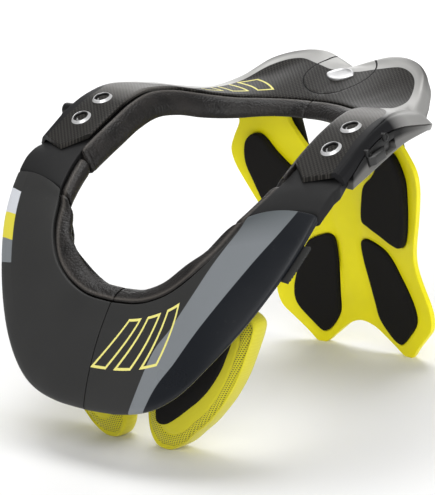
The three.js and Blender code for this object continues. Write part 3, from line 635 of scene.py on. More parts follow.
def rolledSkin(name, rings, marks=None):
    # a grid rolled into a closed tube through the rings, and its ends filled
    deselectAll()
    bpy.ops.mesh.primitive_grid_add(x_subdivisions=len(rings[0]), y_subdivisions=len(rings) - 1, size=0.1)
    piece = bpy.context.object
    piece.name = name
    spots = [spot for ring in rings for spot in (*ring, ring[0])]
    for vertex, spot in zip(piece.data.vertices, spots):
        vertex.co = spot
    for mark, values in (marks or {}).items():
        attribute = piece.data.attributes.new(mark, "FLOAT", "POINT")
        attribute.data.foreach_set("value", [v for row in values for v in (*row, row[0])])
    editAll()
    bpy.ops.mesh.remove_doubles(threshold=0.000002)
    bpy.ops.mesh.fill_holes(sides=0)
    bpy.ops.mesh.normals_make_consistent(inside=False)
    leaveEdit()
    return piece


def ringMarks(stationAt, places, flats, marksOf):
    # the marks of each ring point, from marksOf(station, spot, metres along the ring's middle)
    made, travelled, before = {}, 0.0, None
    for place, flat in zip(places, flats):
        station = stationAt(place)
        here = station.toSpace(station.middle, 0)
        travelled += (here - before).length if before else 0
        before = here
        rows = [marksOf(station, spot, travelled) for spot in flat]
        for name in rows[0]:
            made.setdefault(name, []).append([row[name] for row in rows])
    return made


def sweptPiece(name, stationAt, ringOf, *span, marksOf=None, **ends):
    places, flats, rings = sweptRings(stationAt, ringOf, *span, **ends)
    return rolledSkin(name, rings, ringMarks(stationAt, places, flats, marksOf) if marksOf else None)


def solidFrom(name, low, high):
    # a closed prism: a filled circle laid on the low line, and drawn up to the high one
    deselectAll()
    bpy.ops.mesh.primitive_circle_add(vertices=len(low), radius=0.05, fill_type="NGON")
    piece = bpy.context.object
    piece.name = name
    editAll()
    bpy.ops.mesh.extrude_region_move(TRANSFORM_OT_translate={"value": (0, 0, 0)})
    leaveEdit()
    for vertex, spot in zip(piece.data.vertices, [*low, *high]):
        vertex.co = spot
    editAll()
    bpy.ops.mesh.normals_make_consistent(inside=False)
    leaveEdit()
    return piece


def slabFrom(name, line, front, back, rim=0.0, rimSteps=4, corners=False):
    # a flat, upright slab, its rims bevelled, and the corners of its outline too if asked
    piece = solidFrom(name, *[[(spot.x, y, spot.y) for spot in line] for y in (front, back)])
    if rim:
        editAll()
        bpy.ops.mesh.select_mode(type="VERT" if corners else "EDGE")
        bpy.ops.mesh.select_all(action="DESELECT")
        leaveEdit()
        for edge in piece.data.edges:
            ends = [piece.data.vertices[v].co.y for v in edge.vertices]
            edge.select = abs(ends[0] - ends[1]) < 1e-7
        bpy.ops.object.mode_set(mode="EDIT")
        bpy.ops.mesh.select_mode(type="EDGE")
        bpy.ops.mesh.bevel(offset=rim, segments=rimSteps, affect="EDGES", clamp_overlap=True)
        bpy.ops.mesh.select_mode(type="VERT")
        leaveEdit()
    return piece


def lidRing(width, lid):
    # a crowned lid with a round outer edge
    wall, drop = lid["wall"], 0.0004
    shares = steps(lid["margin"], 1 - lid["margin"], lid["points"])
    top = [(s * width, lid["crown"] * 4 * s * (1 - s), 0) for s in shares]
    under = [(x, y - wall, 0) for x, y, _ in reversed(top)]
    edge = width * lid["reach"]
    return softRing([(0, 0, lid["inner"]), *top, (edge, -drop, lid["nose"]), (edge, -0.9 * wall, lid["nose"]),
                     *under, (0, -0.9 * wall, lid["inner"])])


# Covers over the front of the collar
cover = {
    "wall": 0.006, "crown": 0.004, "inner": 0.0014, "nose": 0.0026, "reach": 1.005, "margin": 0.06, "points": 26,
    "endRadius": 0.0007, "seam": 0.0008,
}
# by place along the front: share across of the stripe's inner and outer edge
stripeLine = [[2.4, 2.9], [1.32, 1.62], [0.58, 0.92], [0.35, 0.69], [0.21, 0.57], [0.11, 0.53], [0.05, 0.57],
              [0.03, 0.65], [0.02, 0.75]]
# share across where the right cover's bands begin, and places along for each share across
sideBand = {"share": 0.75, "slant": 1.1}


def coverMarks(station, spot, along):
    stripe, black = smoothRow(stripeLine, station.place)
    return {
        "across": spot.x,
        "along": along,
        "fromStripe": spot.x - stripe * station.width,
        "fromBlack": spot.x - black * station.width,
        "fromBand": spot.x - sideBand["share"] * station.width,
        "bandPlace": station.place - sideBand["slant"] * (spot.x / station.width - sideBand["share"]),
    }


coverLeft = sweptPiece("collarCoverLeft", frontStation, lambda station: lidRing(station.width, cover),
                       0, seamPlace - seamStep, 128, cover["endRadius"], cover["seam"] / 2, marksOf=coverMarks)
coverRight = mirroredCopy(coverLeft)

# Ribbed strap loop under the left cover's outer edge
loop = {"first": 6.2, "last": 7.25, "past": 0.0045, "inside": 0.004, "under": 0.0048, "wall": 0.0022,
        "ribs": 70, "rib": 0.0003, "radius": 0.0007}


def loopRing(station):
    edge = station.width + loop["past"] + loop["rib"] * math.sin(station.place * loop["ribs"])
    near, top, low = station.width - loop["inside"], -loop["under"], -loop["under"] - loop["wall"]
    return softRing([(near, top - 0.001, 0), (edge, top, loop["radius"]), (edge, low, loop["radius"]),
                     (near, low - 0.001, 0)], 3)


joined(coverLeft, sweptPiece("strapLoop", frontStation, loopRing, loop["first"], loop["last"], 60, 0.0008,
                             marksOf=lambda *where: dict.fromkeys(coverMarks(*where), -1.0)))
finishPair(coverLeft, "front_body", "front_cover", coverLeftPaint, coverRight, coverRightPaint)
print("stage: covers")

# Links between collar and arms, widened where they lie under the shell
link = {
    "wall": 0.009, "crown": 0.002, "inner": 0.0014, "nose": 0.003, "reach": 1.0, "margin": 0.05, "points": 20,
    "end": 10.6, "radius": 0.0012, "grow": 0.0022, "growPlaces": (9.1, 9.6),
}


def linkRing(station):
    return lidRing(station.width + link["grow"] * fade(station.place, *link["growPlaces"]), link)


linkLeft = sweptPiece("armLinkLeft", frontStation, linkRing, seamPlace + seamStep, link["end"], 40, link["radius"])
finishPair(linkLeft, "rear_body", "side_link", blackPlastic)

# Rear shells, the base under them and the hub between them
shell = {"wall": 0.003, "start": 0.02, "inner": 0.0009, "rim": 0.0004, "fine": 5}
base = {"start": 1.15, "seat": 0.0011, "rim": 0.0005, "edgeRadius": 0.0006, "lipRadius": 0.0016}
hub = {"diameter": 0.052, "tilt": 18.4, "inset": 0.0055, "start": 8.5, "height": 0.03}
# by place along the rear: out from the inner edge to the end of the weave, in metres
weaveEdge = [0.033, 0.033, 0.032, 0.031, 0.030, 0.014, 0.010, 0.021, 0.036, 0.049, 0.051, 0.0425, 0.037, 0.036]
# and the bottom of the base there, as a share of padThickness
baseBottom = [-1.62, -1.62, -1.62, -1.62, -1.60, -1.50, -1.36, -1.22, -1.10, -1.09, -1.09, -1.09, -1.09, -1.09]


def between(low, high, share, lift=0.0):
    return low + (high - low) * share + Vector((0, lift))


def deckLine(station):
    crease, ridge, rim = station.crease, station.ridge, station.rim
    brow = Vector((ridge.x + (rim.x - ridge.x) * 0.55, ridge.y - 0.0025))
    sag = -0.08 * max(ridge.y - crease.y, 0)
    return [Vector((0.0012, 0)), crease * 0.5, crease, between(crease, ridge, 0.5, sag), ridge, brow,
            between(brow, rim, 0.5), rim]


def offsetLine(line, depth):
    made = []
    last = len(line) - 1
    for n, spot in enumerate(line):
        along = (line[min(n + 1, last)] - line[max(n - 1, 0)]).normalized()
        made.append(Vector((spot.x + along.y * depth, spot.y - along.x * depth)))
    return made


def shellRing(station):
    line = deckLine(station)
    inside = offsetLine(line, shell["wall"])
    inside[0] = Vector((2 * shell["inner"], -shell["wall"]))
    return [Vector((0, -shell["inner"])), *through(line, shell["fine"]), *reversed(through(inside, 2)),
            Vector((shell["inner"], -shell["wall"]))]


def baseRing(station):
    line = deckLine(station)
    inside, lip = offsetLine(line, shell["wall"]), station.lip
    down, aside = Vector((0, base["seat"])), Vector((base["seat"], 0))
    turn = (station.rim - line[-2]).normalized() * 2 * brace["gap"]
    low = smoothValue(baseBottom, station.place) * brace["padThickness"]
    upper = through([Vector((brace["gap"], -shell["wall"] - base["seat"])), *[spot - down for spot in inside[1:4]],
                     inside[4] - aside - down, inside[7] + turn - aside], 3)
    return softRing([
        *[(*spot, 0) for spot in upper], (*(station.rim + turn), base["edgeRadius"]), (*lip, base["lipRadius"]),
        (lip.x * 0.8, lip.y + 0.001, 0), (lip.x * 0.4, (lip.y + low) / 2, 0), (brace["gap"], low, 0),
    ])


def markedPoints(piece):
    # the points of a piece and their marks, to find again after it is cut
    points = kdtree.KDTree(len(piece.data.vertices))
    for n, vertex in enumerate(piece.data.vertices):
        points.insert(vertex.co, n)
    points.balance()
    floats = [a for a in piece.data.attributes if a.data_type == "FLOAT" and a.domain == "POINT"]
    return points, {a.name: [item.value for item in a.data] for a in floats}


def markAgain(piece, marked):
    # each point takes its marks from the three nearest old points, the nearer the more
    points, values = marked
    shares = []
    for vertex in piece.data.vertices:
        near = [(n, 1 / (distance + 1e-7) ** 2) for _, n, distance in points.find_n(vertex.co, 3)]
        total = sum(share for _, share in near)
        shares.append([(n, share / total) for n, share in near])
    for name, old in values.items():
        data = piece.data.attributes[name].data
        data.foreach_set("value", [sum(old[n] * share for n, share in near) for near in shares])


def shellMarks(station, spot, along):
    ridge, rim = station.ridge, station.rim
    return {
        "place": station.place,
        "across": spot.x,
        "along": along,
        "pastRidge": (spot.x - ridge.x) / (rim.x - ridge.x),
        "fromWeave": spot.x - smoothValue(weaveEdge, station.place),
    }


def cutShell(piece, cutters, operation="DIFFERENCE"):
    marked = markedPoints(piece)
    cutAway(piece, cutters, operation)
    bevelled(piece, shell["rim"], 2, 55)
    markAgain(piece, marked)


def hubPlace(lift=0.0):
    back = rearStation(backPlace)
    run = hub["diameter"] / 2 + hub["inset"]
    seat = back.toSpace(run, back.crease.y * run / back.crease.x)
    turn = Matrix.Rotation(math.radians(hub["tilt"]), 4, "X")
    return Matrix.Translation((0, seat.y, seat.z)) @ turn @ Matrix.Translation((0, 0, lift))


def roundLine(angle):
    return math.cos(angle), math.sin(angle)


def turned(name, profile, matrix, sides=48, outline=roundLine, marks=None):
    # profile (share of the outline, height), closed on itself or on the axis
    rings = []
    for angle in steps(0, 2 * math.pi, sides):
        x, y = outline(angle)
        ring = profile(angle) if callable(profile) else profile
        rings.append([matrix @ Vector((x * share, y * share, up)) for share, up in ring])
    rings[-1] = rings[0]
    return rolledSkin(name, rings, {mark: [values] * len(rings) for mark, values in (marks or {}).items()})


def rod(name, radius, depth, matrix, sides):
    return turned(name, [(0, depth / 2), (radius, depth / 2), (radius, -depth / 2), (0, -depth / 2)], matrix, sides)


# the arm's blunt V tip, as shares across and along
tip = [(0.40, -0.310), (0.671, -0.321), (0.788, -0.402), (0.993, -0.347), (1.20, -0.347), (1.20, -0.70),
       (0.40, -0.70)]
tipCutter = solidFrom("tipCutter", *[[pointFrom(across, along, up) for across, along in tip] for up in (0.2, 1.5)])
hubCutter = rod("hubCutter", hub["diameter"] / 2 + brace["gap"], hub["height"], hubPlace(), 96)
hubCore = rod("hubCore", hub["diameter"] / 2, hub["height"], hubPlace(), 96)
shellLeftPaint, shellRightPaint = shellPaint("shellLeftPaint", False), shellPaint("shellRightPaint", True)

shellLeft = sweptPiece("rearShellLeft", rearStation, shellRing, shell["start"], backPlace, 156, 0,
                       marksOf=shellMarks)
cutShell(shellLeft, [tipCutter, hubCutter])
finishPair(shellLeft, "rear_body", "rear_shell", shellLeftPaint, rightPaint=shellRightPaint)

# the deck of the hub runs on over the middle, and only the round core of it is left
places, flats, rings = sweptRings(rearStation, shellRing, hub["start"], backPlace, 50, 0, 0)
marks = ringMarks(rearStation, places, flats, shellMarks)
mirroredRings = [[Vector((-s.x, s.y, s.z)) for s in ring] for ring in reversed(rings[:-1])]
hubDeck = rolledSkin("rearHub", rings + mirroredRings,
                     {name: values + list(reversed(values[:-1])) for name, values in marks.items()})
cutShell(hubDeck, [hubCore], "INTERSECT")
finishPiece(hubDeck, "rear_body", "rear_hub", shellLeftPaint)
print("stage: shells", len(shellLeft.data.polygons), len(hubDeck.data.polygons))


def seatedAt(spot, *axes):
    matrix = Matrix(axes).transposed().to_4x4()
    matrix.translation = spot
    return matrix


def onArm(place, spotAt):
    # a spot on the arm, the way along the arm there, and the way out from it
    spot, later = [spotAt(rearStation(near)) for near in (place, place + 0.2)]
    along = (later - spot).normalized()
    return spot, along, (Vector((1, 0, 0)) - along * along.x).normalized()


def baseMarks(station, spot, along):
    return {"place": station.place, "down": (station.rim.y - spot.y) / (station.rim.y - station.lip.y)}


baseLeft = sweptPiece("armBaseLeft", rearStation, baseRing, base["start"], backPlace, 110, 0, marksOf=baseMarks)

# Release lever in the flank of each arm, and the recess behind it
lever = {"place": 3.25, "inset": 0.35, "depth": 0.013, "length": 0.024, "height": 0.006, "pin": 0.003,
         "corner": 0.003}


def leverPlace():
    # at the lever's pin: out from the arm, along it, and up
    spot, along, out = onArm(lever["place"], lambda station: station.toSpace(
        station.rim.x - lever["inset"] * lever["depth"], station.rim.y * 0.4 + station.lip.y * 0.6))
    return seatedAt(spot, out, along, out.cross(along))


def leverSolid(name, line, half):
    return solidFrom(name, *[[leverPlace() @ Vector((x, y, z)) for x, y in line] for z in (-half, half)])


def boxLine(left, near, right, far):
    return [(left, near), (right, near), (right, far), (left, far)]


deep, long = lever["depth"] * 1.6, lever["length"] * 1.25
fromPin, behind = -0.38 * lever["depth"], lever["length"] * 0.2
recess = leverSolid("recess", boxLine(fromPin, behind - long, fromPin + deep, behind),
                    lever["height"] / 2 + brace["gap"])
marked = markedPoints(baseLeft)
cutAway(baseLeft, [tipCutter, recess])
markAgain(baseLeft, marked)
bevelled(baseLeft, base["rim"], 2, 50)

# Two round heads on each upper flank, over the ends of the lever, and a knob on the right flank
head = {"places": (2.05, 3.0), "radius": 0.003, "out": 0.0026, "sunk": 0.004, "dish": 0.0004}
knob = {"place": 2.4, "radius": 0.0048, "out": 0.0062}


def headSolid(place, radius, out):
    spot, along, outwards = onArm(place, lambda station: station.toSpace(
        station.rim.x - 0.001, station.rim.y - 0.0016))
    profile = [(0, out - head["dish"]), (radius * 0.4, out - head["dish"]), (radius * 0.5, out),
               (radius - 0.0008, out), (radius - 0.0002, out - 0.0003), (radius, out - 0.0009),
               (radius, -head["sunk"]), (0, -head["sunk"])]
    return turned("flankHead", profile, seatedAt(spot, along, outwards.cross(along), outwards), 36,
                  marks={mark: [0.0] * len(profile) for mark in ("place", "down")})


for place in head["places"]:
    joined(baseLeft, headSolid(place, head["radius"], head["out"]))
baseRight = mirroredCopy(baseLeft)
leftKnob = headSolid(knob["place"], knob["radius"], knob["out"])
joined(baseRight, mirroredCopy(leftKnob))
finishPair(baseLeft, "rear_body", "rear_base", silverPaint, baseRight)
discard([leftKnob, tipCutter, hubCutter, hubCore, recess])
print("stage: base", len(baseLeft.data.polygons))

# Screws and eyelets in the arms
screw = {"places": (1.62, 2.78), "out": 0.0195, "radius": 0.004, "length": 0.0125, "socket": 0.0045, "depth": 0.003}
eyelet = {"radius": 0.007, "wall": 0.0016}


def screwPlace(place):
    station = rearStation(place)
    spot, along, _ = onArm(place, lambda near: near.toSpace(
        screw["out"], near.crease.y * screw["out"] / near.crease.x))
    across = (station.toSpace(*station.crease) - station.toSpace(0, 0)).normalized()
    up = across.cross(along).normalized()
    side = along.cross(up).normalized()
    return seatedAt(spot, side, up.cross(side), up)


def screwProfile(angle):
    sixth = math.pi / 3
    socket = screw["socket"] / 2 / math.cos(angle % sixth - sixth / 2)
    edge, deep = screw["radius"], screw["depth"]
    return [(0, -deep - 0.0005), (socket * 0.97, -deep), (socket, -0.0003), (socket + 0.0003, 0),
            (edge - 0.0006, 0), (edge - 0.0002, -0.0002), (edge, -0.0006), (edge, -screw["length"]),
            (0, -screw["length"])]


hole = screw["radius"] + brace["gap"]
rim, raised = eyelet["radius"], eyelet["wall"]
eyeletProfile = [
    (hole, 0), (hole + 0.0001, raised * 0.5), (hole + 0.0006, raised * 0.7), (hole + 0.0009, raised * 0.95),
    (hole + 0.0013, raised), (rim - 0.0006, raised * 0.35), (rim - 0.0001, raised * 0.14), (rim, 0),
]
# in the marks, rim is a painted highlight round the screw's socket, and shade is painted shade down into the eyelet's
# hole
fasteners = [  # the marks go point by point along the profile
    ("screw", screwProfile, "black_screw", blackScrew, {"rim": [0, 0, 0.4, 1, 0.5, 0, 0, 0, 0]}),
    ("eyelet", eyeletProfile, "chrome", eyeletMetal, {"shade": [1, 1, 1, 0.7, 0, 0, 0, 0]}),
]
for place, which in zip(screw["places"], ("front", "rear")):
    for kind, profile, slot, paint, marks in fasteners:
        left = turned(f"{kind}{which.title()}Left", profile, screwPlace(place), 60, marks=marks)
        finishPair(left, "rear_body", f"{kind}_{which}", paint)

# The badge: a bare metal oval with pointed ends, a raised rim and a dished face
badge = {"width": 0.0226, "depth": 0.0166, "wall": 0.0022, "sink": 0.0012, "point": 1.5}


def badgeLine(angle):
    x, y = roundLine(angle)
    return badge["width"] / 2 * x, badge["depth"] / 2 * math.copysign(abs(y) ** badge["point"], y)


top = badge["wall"] - badge["sink"]
badgeProfile = [(0, top - 0.0005), (0.5, top - 0.00042), (0.80, top - 0.0003), (0.86, top), (0.92, top),
                (0.98, top - 0.0003), (1, top - 0.0008), (1, -badge["sink"]), (0, -badge["sink"])]
oval = turned("hubBadge", badgeProfile, hubPlace(brace["gap"]), 72, badgeLine)
finishPiece(oval, "rear_body", "hub_badge", brightMetal)

knuckle, tab, length, corner = lever["depth"] * 0.3, lever["depth"] * 0.72, lever["length"], lever["corner"]
leverLine = [(knuckle * x, knuckle * y) for x, y in map(roundLine, steps(0, math.pi, 10))]
leverLine += [(-knuckle, 0.002 - length), (0.002 - knuckle, -length), (tab - corner, -length), (tab, corner - length),
              (tab, -length * 0.45), (knuckle, -length * 0.15)]
leverLeft = leverSolid("releaseLeverLeft", leverLine, lever["height"] / 2)
pinHole = rod("pinHole", lever["pin"] / 2 + brace["gap"], 0.02, leverPlace(), 24)
cutAway(leverLeft, [pinHole])
discard([pinHole])
bevelled(leverLeft, 0.0007, 3, 40)
finishPair(leverLeft, "lever_{side}", "release_lever", leverPlastic)
print("stage: hardware")

# Neck roll: slanted faces, a painted highlight along the piping at the top, drawn in at the seams
rollFace = [[0.02, 0.12], [0.06, 0.03], [0.16, 0.00], [0.36, 0.08], [0.62, 0.24], [0.86, 0.48], [1.00, 0.73],
            [0.98, 0.90], [0.86, 0.99], [0.45, 1.00], [0.0, 1.0]]
# and the rounder face at the sides, where the roll turns upright
roundFace = [[0.02, 0.12], [0.10, 0.02], [0.28, 0.00], [0.58, 0.05], [0.86, 0.17], [1.03, 0.38], [1.05, 0.60],
             [0.95, 0.80], [0.74, 0.94], [0.40, 1.00], [0.0, 1.0]]
roll = {
    "samples": 3, "pipingHighlight": 7, "pipingHighlightWidth": 1.2, "sewn": (6, 26),  # by point round the roll
    "radius": 0.002, "pressure": 3.0, "cap": 0.0007,
}


def rollRing(station):
    thick, top, bottom = station.roll
    spots = []
    for slanted, rounded in zip(rollFace, roundFace):
        across, down = [a + (b - a) * station.round for a, b in zip(slanted, rounded)]
        spots.append(Vector((-brace["gap"] - across * thick, top + (bottom - top) * down)))
    return through(spots, roll["samples"])


def puffed(piece, pressure, cap, held=None):
    # swell the skin as sewn cloth under light pressure: no point moves past the cap, and
    # those with the held mark stay where they are
    rest = [vertex.co.copy() for vertex in piece.data.vertices]
    only(piece)
    cloth = piece.modifiers.new("cloth", "CLOTH")
    cloth.settings.use_pressure = True
    cloth.settings.uniform_pressure_force = pressure
    cloth.settings.effector_weights.gravity = 0
    cloth.settings.quality = 4
    if held:
        marks = piece.data.attributes[held].data
        pins = piece.vertex_groups.new(name=held)
        pins.add([n for n, mark in enumerate(marks) if mark.value > 0.5], 1.0, "REPLACE")
        cloth.settings.vertex_group_mass = held
    moments = range(1, 21)
    cloth.point_cache.frame_start, cloth.point_cache.frame_end = moments[0], moments[-1]
    for moment in moments:
        bpy.context.scene.frame_set(moment)
    bpy.ops.object.modifier_apply(modifier=cloth.name)
    bpy.context.scene.frame_set(1)
    for vertex, spot in zip(piece.data.vertices, rest):
        move = vertex.co - spot
        vertex.co = spot + move * min(1, cap / max(move.length, 1e-9))
        vertex.co.z = max(vertex.co.z, 0)


rolls = [
    ("neckRollFront", "front_pad", "front_body", frontStation, 0, seamPlace - seamStep, 84, cover["seam"]),
    ("neckRollSide", "side_pad", "rear_body", frontStation, seamPlace + seamStep, 9.7, 26, brace["seam"]),
    ("neckRollRear", "rear_pad", "rear_body", rearStation, 0.45, backPlace, 116, brace["seam"]),
]
for name, node, body, stationAt, first, last, count, seam in rolls:
    places, flats, rings = sweptRings(stationAt, rollRing, first, last, count, roll["radius"], seam / 2)
    points, (low, high) = range(len(flats[0])), roll["sewn"]
    pipingHighlight = [math.exp(-((n - roll["pipingHighlight"]) / roll["pipingHighlightWidth"]) ** 2) for n in points]
    sewnEdge = [float(n < low or n > high) for n in points]
    left = rolledSkin(name + "Left", rings, {"pipingHighlight": [pipingHighlight] * len(rings), "sewnEdge": [sewnEdge] * len(rings)})
    puffed(left, roll["pressure"], roll["cap"], "sewnEdge")
    finishPair(left, body, node, padLeather, degrees=60)
print("stage: neck roll")

# Back stabilizer: a plate that leans and curls, with two wings, two feet and four pockets
stabilizer = {
    "half": 0.62 * brace["halfWidth"], "height": 0.888 * brace["armHeight"], "wall": 0.005,
    "lean": 0.212, "hang": 0.662, "footCurl": 0.135, "wingCurl": 0.2, "wingBow": 0.105,
    "pocket": 0.002, "rim": 0.0018, "channel": 0.011, "groove": 0.0012, "creaseWidth": 0.0016,
    "strips": (0.004, 0.006),  # how finely it is cut to bend, across and up
}
stabilizerSide = [
    [0.00, 0.121], [0.13, 0.105], [0.24, 0.070], [0.34, 0.034], [0.44, 0.000], [0.52, 0.000],
    [0.61, 0.045], [0.73, 0.100], [0.82, 0.145], [0.848, 0.200], [0.83, 0.255], [0.775, 0.330],
    [0.745, 0.395], [0.752, 0.450], [0.79, 0.510], [0.85, 0.580], [0.925, 0.670], [0.98, 0.750],
    [0.985, 0.815], [0.93, 0.870], [0.85, 0.930], [0.79, 1.000], [0.43, 1.000], [0.36, 0.930],
    [0.27, 0.850], [0.15, 0.785], [0.00, 0.755],
]
upperInsert = [
    [0.23, 0.57], [0.28, 0.66], [0.34, 0.72], [0.46, 0.765], [0.56, 0.82], [0.64, 0.88],
    [0.72, 0.89], [0.81, 0.85], [0.85, 0.77], [0.82, 0.69], [0.78, 0.615], [0.72, 0.53],
    [0.65, 0.48], [0.55, 0.483], [0.42, 0.512], [0.30, 0.54],
]
lowerInsert = [
    [0.145, 0.46], [0.19, 0.483], [0.28, 0.476], [0.41, 0.448], [0.49, 0.405], [0.545, 0.355],
    [0.60, 0.305], [0.655, 0.24], [0.67, 0.185], [0.635, 0.143], [0.545, 0.096], [0.45, 0.054],
    [0.40, 0.053], [0.345, 0.07], [0.27, 0.11], [0.215, 0.155], [0.195, 0.22], [0.165, 0.32],
    [0.145, 0.39],
]
# foam inserts: their outline, thickness and rounded rim
foams = {"upper": (upperInsert, 0.008, 0.0022), "lower": (lowerInsert, 0.0045, 0.0014)}


def stabilizerAlong(x, z):
    foot = stabilizer["hang"] * brace["rearReach"] + stabilizer["lean"] * brace["armHeight"] + brace["backShift"]
    height = z / stabilizer["height"]
    curl = stabilizer["footCurl"] + (stabilizer["wingCurl"] - stabilizer["footCurl"]) * height
    forward = curl * (x / stabilizer["half"]) ** 2 + stabilizer["wingBow"] * height ** 3
    return foot - stabilizer["lean"] * z - forward * stabilizer["half"]


def bisected(piece, axis, places):
    # straight cuts, so that a flat slab can bend
    only(piece)
    for place in places:
        editAll()
        bpy.ops.mesh.bisect(plane_co=tuple(place * a for a in axis), plane_no=axis)
        leaveEdit()


def curled(piece):
    # laid on the leaning, curling back: cut into strips both ways, then moved
    strip, row = stabilizer["strips"]
    reach = int(max(abs(v.co.x) for v in piece.data.vertices) / strip)
    bisected(piece, (1, 0, 0), [x * strip for x in range(-reach, reach + 1)])
    heights = [v.co.z for v in piece.data.vertices]
    low, high = min(heights), max(heights)
    bisected(piece, (0, 0, 1), [low + row * n for n in range(1, int((high - low) / row))])
    for vertex in piece.data.vertices:
        vertex.co.y += stabilizerAlong(vertex.co.x, vertex.co.z)


half, height = stabilizer["half"], stabilizer["height"]
otherSide = [[-x, y] for x, y in reversed(stabilizerSide[1:-1])]
plateLine = [Vector((s.x, max(s.y, 0))) for s in closedLine(stabilizerSide + otherSide, half, height)]
plate = slabFrom("backStabilizer", plateLine, 0, stabilizer["wall"], stabilizer["rim"], corners=True)
pockets = []
for shares, _, _ in foams.values():
    for side in (1, -1):
        line = [Vector((s.x * side, s.y)) for s in closedLine(shares, half, height, 0.0004)]
        pockets.append(slabFrom("pocket", line, -0.003, stabilizer["pocket"]))
cutAway(plate, pockets)
discard(pockets)
curled(plate)
# a shallow channel down the middle, with soft creases on both sides
for vertex in plate.data.vertices:
    x, z = vertex.co.x, vertex.co.z
    share = z / height
    crease = math.exp(-((abs(x) - stabilizer["channel"]) / stabilizer["creaseWidth"]) ** 2)
    if vertex.co.y - stabilizerAlong(x, z) < stabilizer["wall"] / 2:
        vertex.co.y += stabilizer["groove"] * fade(share, 0.10, 0.20) * fade(share, 0.74, 0.60) * crease
finishPiece(plate, "rear_body", "back_stabilizer", yellowPlastic)

for which, (shares, wall, foamRim) in foams.items():
    back = stabilizer["pocket"] - 0.0002
    left = slabFrom(f"{which}FoamLeft", closedLine(shares, half, height, -0.0003), back - wall, back, foamRim)
    curled(left)
    finishPair(left, "rear_body", f"{which}_insert", blackFoam)

posts = {"across": 0.324 * brace["halfWidth"], "half": 0.018, "wall": 0.004, "bottom": 0.70, "top": 0.935}


def postPoint(x, y, share):
    z = share * brace["armHeight"]
    front = stabilizerAlong(posts["across"] - posts["half"], z) + stabilizer["wall"] + brace["gap"]
    return Vector((posts["across"] + x, front + y, z))


postLine = boxLine(-posts["half"], 0, posts["half"], posts["wall"])
bpy.context.tool_settings.mesh_select_mode = (False, True, False)  # edges, which turns the top over
postLeft = solidFrom("stabilizerPostLeft", *[[postPoint(x, y, share) for x, y in postLine]
                                             for share in (posts["bottom"], posts["top"])])
bevelled(postLeft, 0.001, 3, 40)
finishPair(postLeft, "rear_body", "stabilizer_post", postPlastic)
print("stage: stabilizer")

# Chest pads: cloth over foam, with a mesh band, piping and a dark panel in front
chest = {
    "half": 0.744 * brace["halfWidth"], "height": 0.478 * brace["armHeight"], "along": 0.661,
    "curl": 0.0065, "thick": 0.015, "panel": 0.0025, "meshBand": (0.775, 0.935), "pressure": 3.0, "cap": 0.0009,
}
chestEdge = [
    [0.10, 0.22], [0.11, 0.11], [0.145, 0.035], [0.20, 0.000], [0.29, 0.000], [0.40, 0.055],
    [0.50, 0.145], [0.61, 0.235], [0.72, 0.36], [0.80, 0.475], [0.87, 0.60], [0.93, 0.74],
    [0.98, 0.87], [0.99, 0.94], [0.95, 0.985], [0.88, 1.00], [0.70, 0.99], [0.52, 0.92],
    [0.38, 0.84], [0.22, 0.76], [0.13, 0.70], [0.105, 0.50],
]
panelEdge = [
    [0.19, 0.26], [0.19, 0.20], [0.22, 0.175], [0.28, 0.185], [0.36, 0.235], [0.46, 0.31],
    [0.57, 0.40], [0.66, 0.50], [0.74, 0.62], [0.80, 0.75], [0.84, 0.86], [0.80, 0.90],
    [0.66, 0.87], [0.48, 0.79], [0.34, 0.70], [0.23, 0.60], [0.19, 0.45],
]


def chestFront(x):
    front = -chest["along"] * brace["frontReach"] - chest["thick"] / 2 + brace["backShift"]
    return front + chest["curl"] * (x / chest["half"]) ** 2


def sewn(name, shares, layers):
    # rings drawn in from the outline: each layer is (share of the outline from its middle, depth)
    line = closedLine(shares, chest["half"], chest["height"])
    middle = sum(line, Vector((0, 0))) / len(line)
    rings = []
    for share, depth in layers:
        spots = [middle + (spot - middle) * share for spot in line]
        rings.append([Vector((s.x, chestFront(s.x) + depth, max(s.y, 0))) for s in spots])
    low, high = chest["meshBand"]
    return rolledSkin(name, rings, {"meshBand": [[float(low < share < high)] * len(line) for share, _ in layers]})


thick, panelBack = chest["thick"], -brace["gap"]
panelFront = panelBack - chest["panel"]
padLayers = [
    (0.02, 0.0002), (0.2, 0), (0.4, 0), (0.6, 0), (0.7, 0), (0.74, 0), (0.762, 0.0007), (0.784, 0), (0.84, 0.0001),
    (0.89, 0.0006), (0.93, 0.0016), (0.955, 0.0012), (0.968, 0.0003), (0.982, 0.0004), (0.993, 0.0016),
    (0.998, 0.0030), (1.0, thick / 2), (0.996, thick - 0.0030), (0.975, thick - 0.0010), (0.94, thick - 0.0002),
    (0.8, thick), (0.6, thick), (0.3, thick), (0.02, thick),
]
panelLayers = [
    (0.02, panelFront), (0.5, panelFront), (0.9, panelFront + 0.0001), (0.95, panelFront + 0.0004),
    (0.985, panelFront + 0.0011), (1.0, panelFront + 0.0019), (1.0, panelBack - 0.0002), (0.98, panelBack),
    (0.5, panelBack), (0.02, panelBack),
]
chestLeft = sewn("chestPadLeft", chestEdge, padLayers)
panelLeft = sewn("chestPanelLeft", panelEdge, panelLayers)
puffed(chestLeft, chest["pressure"], chest["cap"])
finishPair(chestLeft, "front_body", "chest_pad", yellowCloth, degrees=50)
finishPair(panelLeft, "front_body", "chest_panel", blackFoam, degrees=50)
print("stage: chest pads")

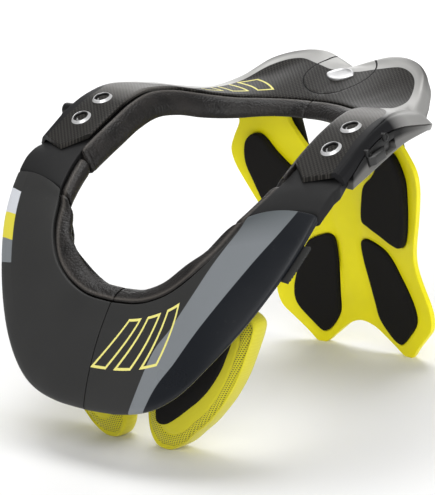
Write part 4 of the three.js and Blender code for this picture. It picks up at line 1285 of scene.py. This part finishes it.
# Rigid solids that keep their CAD shape
kept = {"front_frame": blackPlastic, "lever_pin_left": brightMetal, "lever_pin_right": brightMetal}
for node, paint in kept.items():
    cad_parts[node].data.materials.clear()
    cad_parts[node].data.materials.append(paint.material)

# Floor, lights and camera
deselectAll()
bpy.ops.mesh.primitive_grid_add(x_subdivisions=24, y_subdivisions=24, size=6)
floor = bpy.context.object
floor.name = "paleFloor"
floorPaint = Paint("paleFloor", (0.88, 0.88, 0.88), 0.95, Specular_IOR_Level=0.1)
floorPaint.bump(floorPaint.effect(softGrain)["Height"], 0.00002, 0.2)
floor.data.materials.append(floorPaint.material)

# soft light: spread is the sun's angle in degrees, or the size of the soft box in metres
lights = {
    "key": {"type": "SUN", "from": (-0.15, 0.15, 1.0), "to": (0, 0, 0), "power": 1.6, "spread": 40},
    "fill": {"type": "SUN", "from": (0.6, -1.0, 0.75), "to": (0, 0, 0), "power": 1.6, "spread": 50},
    "rim": {"type": "AREA", "from": (-1.2, 1.4, 0.9), "to": (0, 0, 0.12), "power": 8, "spread": 0.9},
    "side": {"type": "AREA", "from": (1.9, 0.3, 0.7), "to": (0, 0, 0.12), "power": 8, "spread": 0.6},
}
for name, light in lights.items():
    bpy.ops.object.light_add(type=light["type"], location=light["from"])
    lamp = bpy.context.object
    lamp.name = name + "Light"
    lamp.data.energy = light["power"]
    if light["type"] == "SUN":
        lamp.data.angle = math.radians(light["spread"])
    else:
        lamp.data.size = light["spread"]
    towards = Vector(light["to"]) - Vector(light["from"])
    lamp.rotation_euler = towards.to_track_quat("-Z", "Y").to_euler()
world = bpy.context.scene.world or bpy.data.worlds.new("studio")
bpy.context.scene.world = world
world.use_nodes = True
backdrop = world.node_tree.nodes["Background"].inputs
backdrop["Color"].default_value = (1, 1, 1, 1)
backdrop["Strength"].default_value = 0.32
bpy.context.scene.view_settings.view_transform = "Standard"

bpy.ops.object.camera_add()
eye = bpy.context.object
axes = Matrix([camera["right"], camera["up"], camera["back"]]).transposed().to_4x4()
eye.matrix_world = Matrix.Translation(camera["eye"]) @ axes
eye.data.lens = camera["lens"]
eye.data.clip_end = 50
bpy.context.scene.camera = eye

print("stage: done")
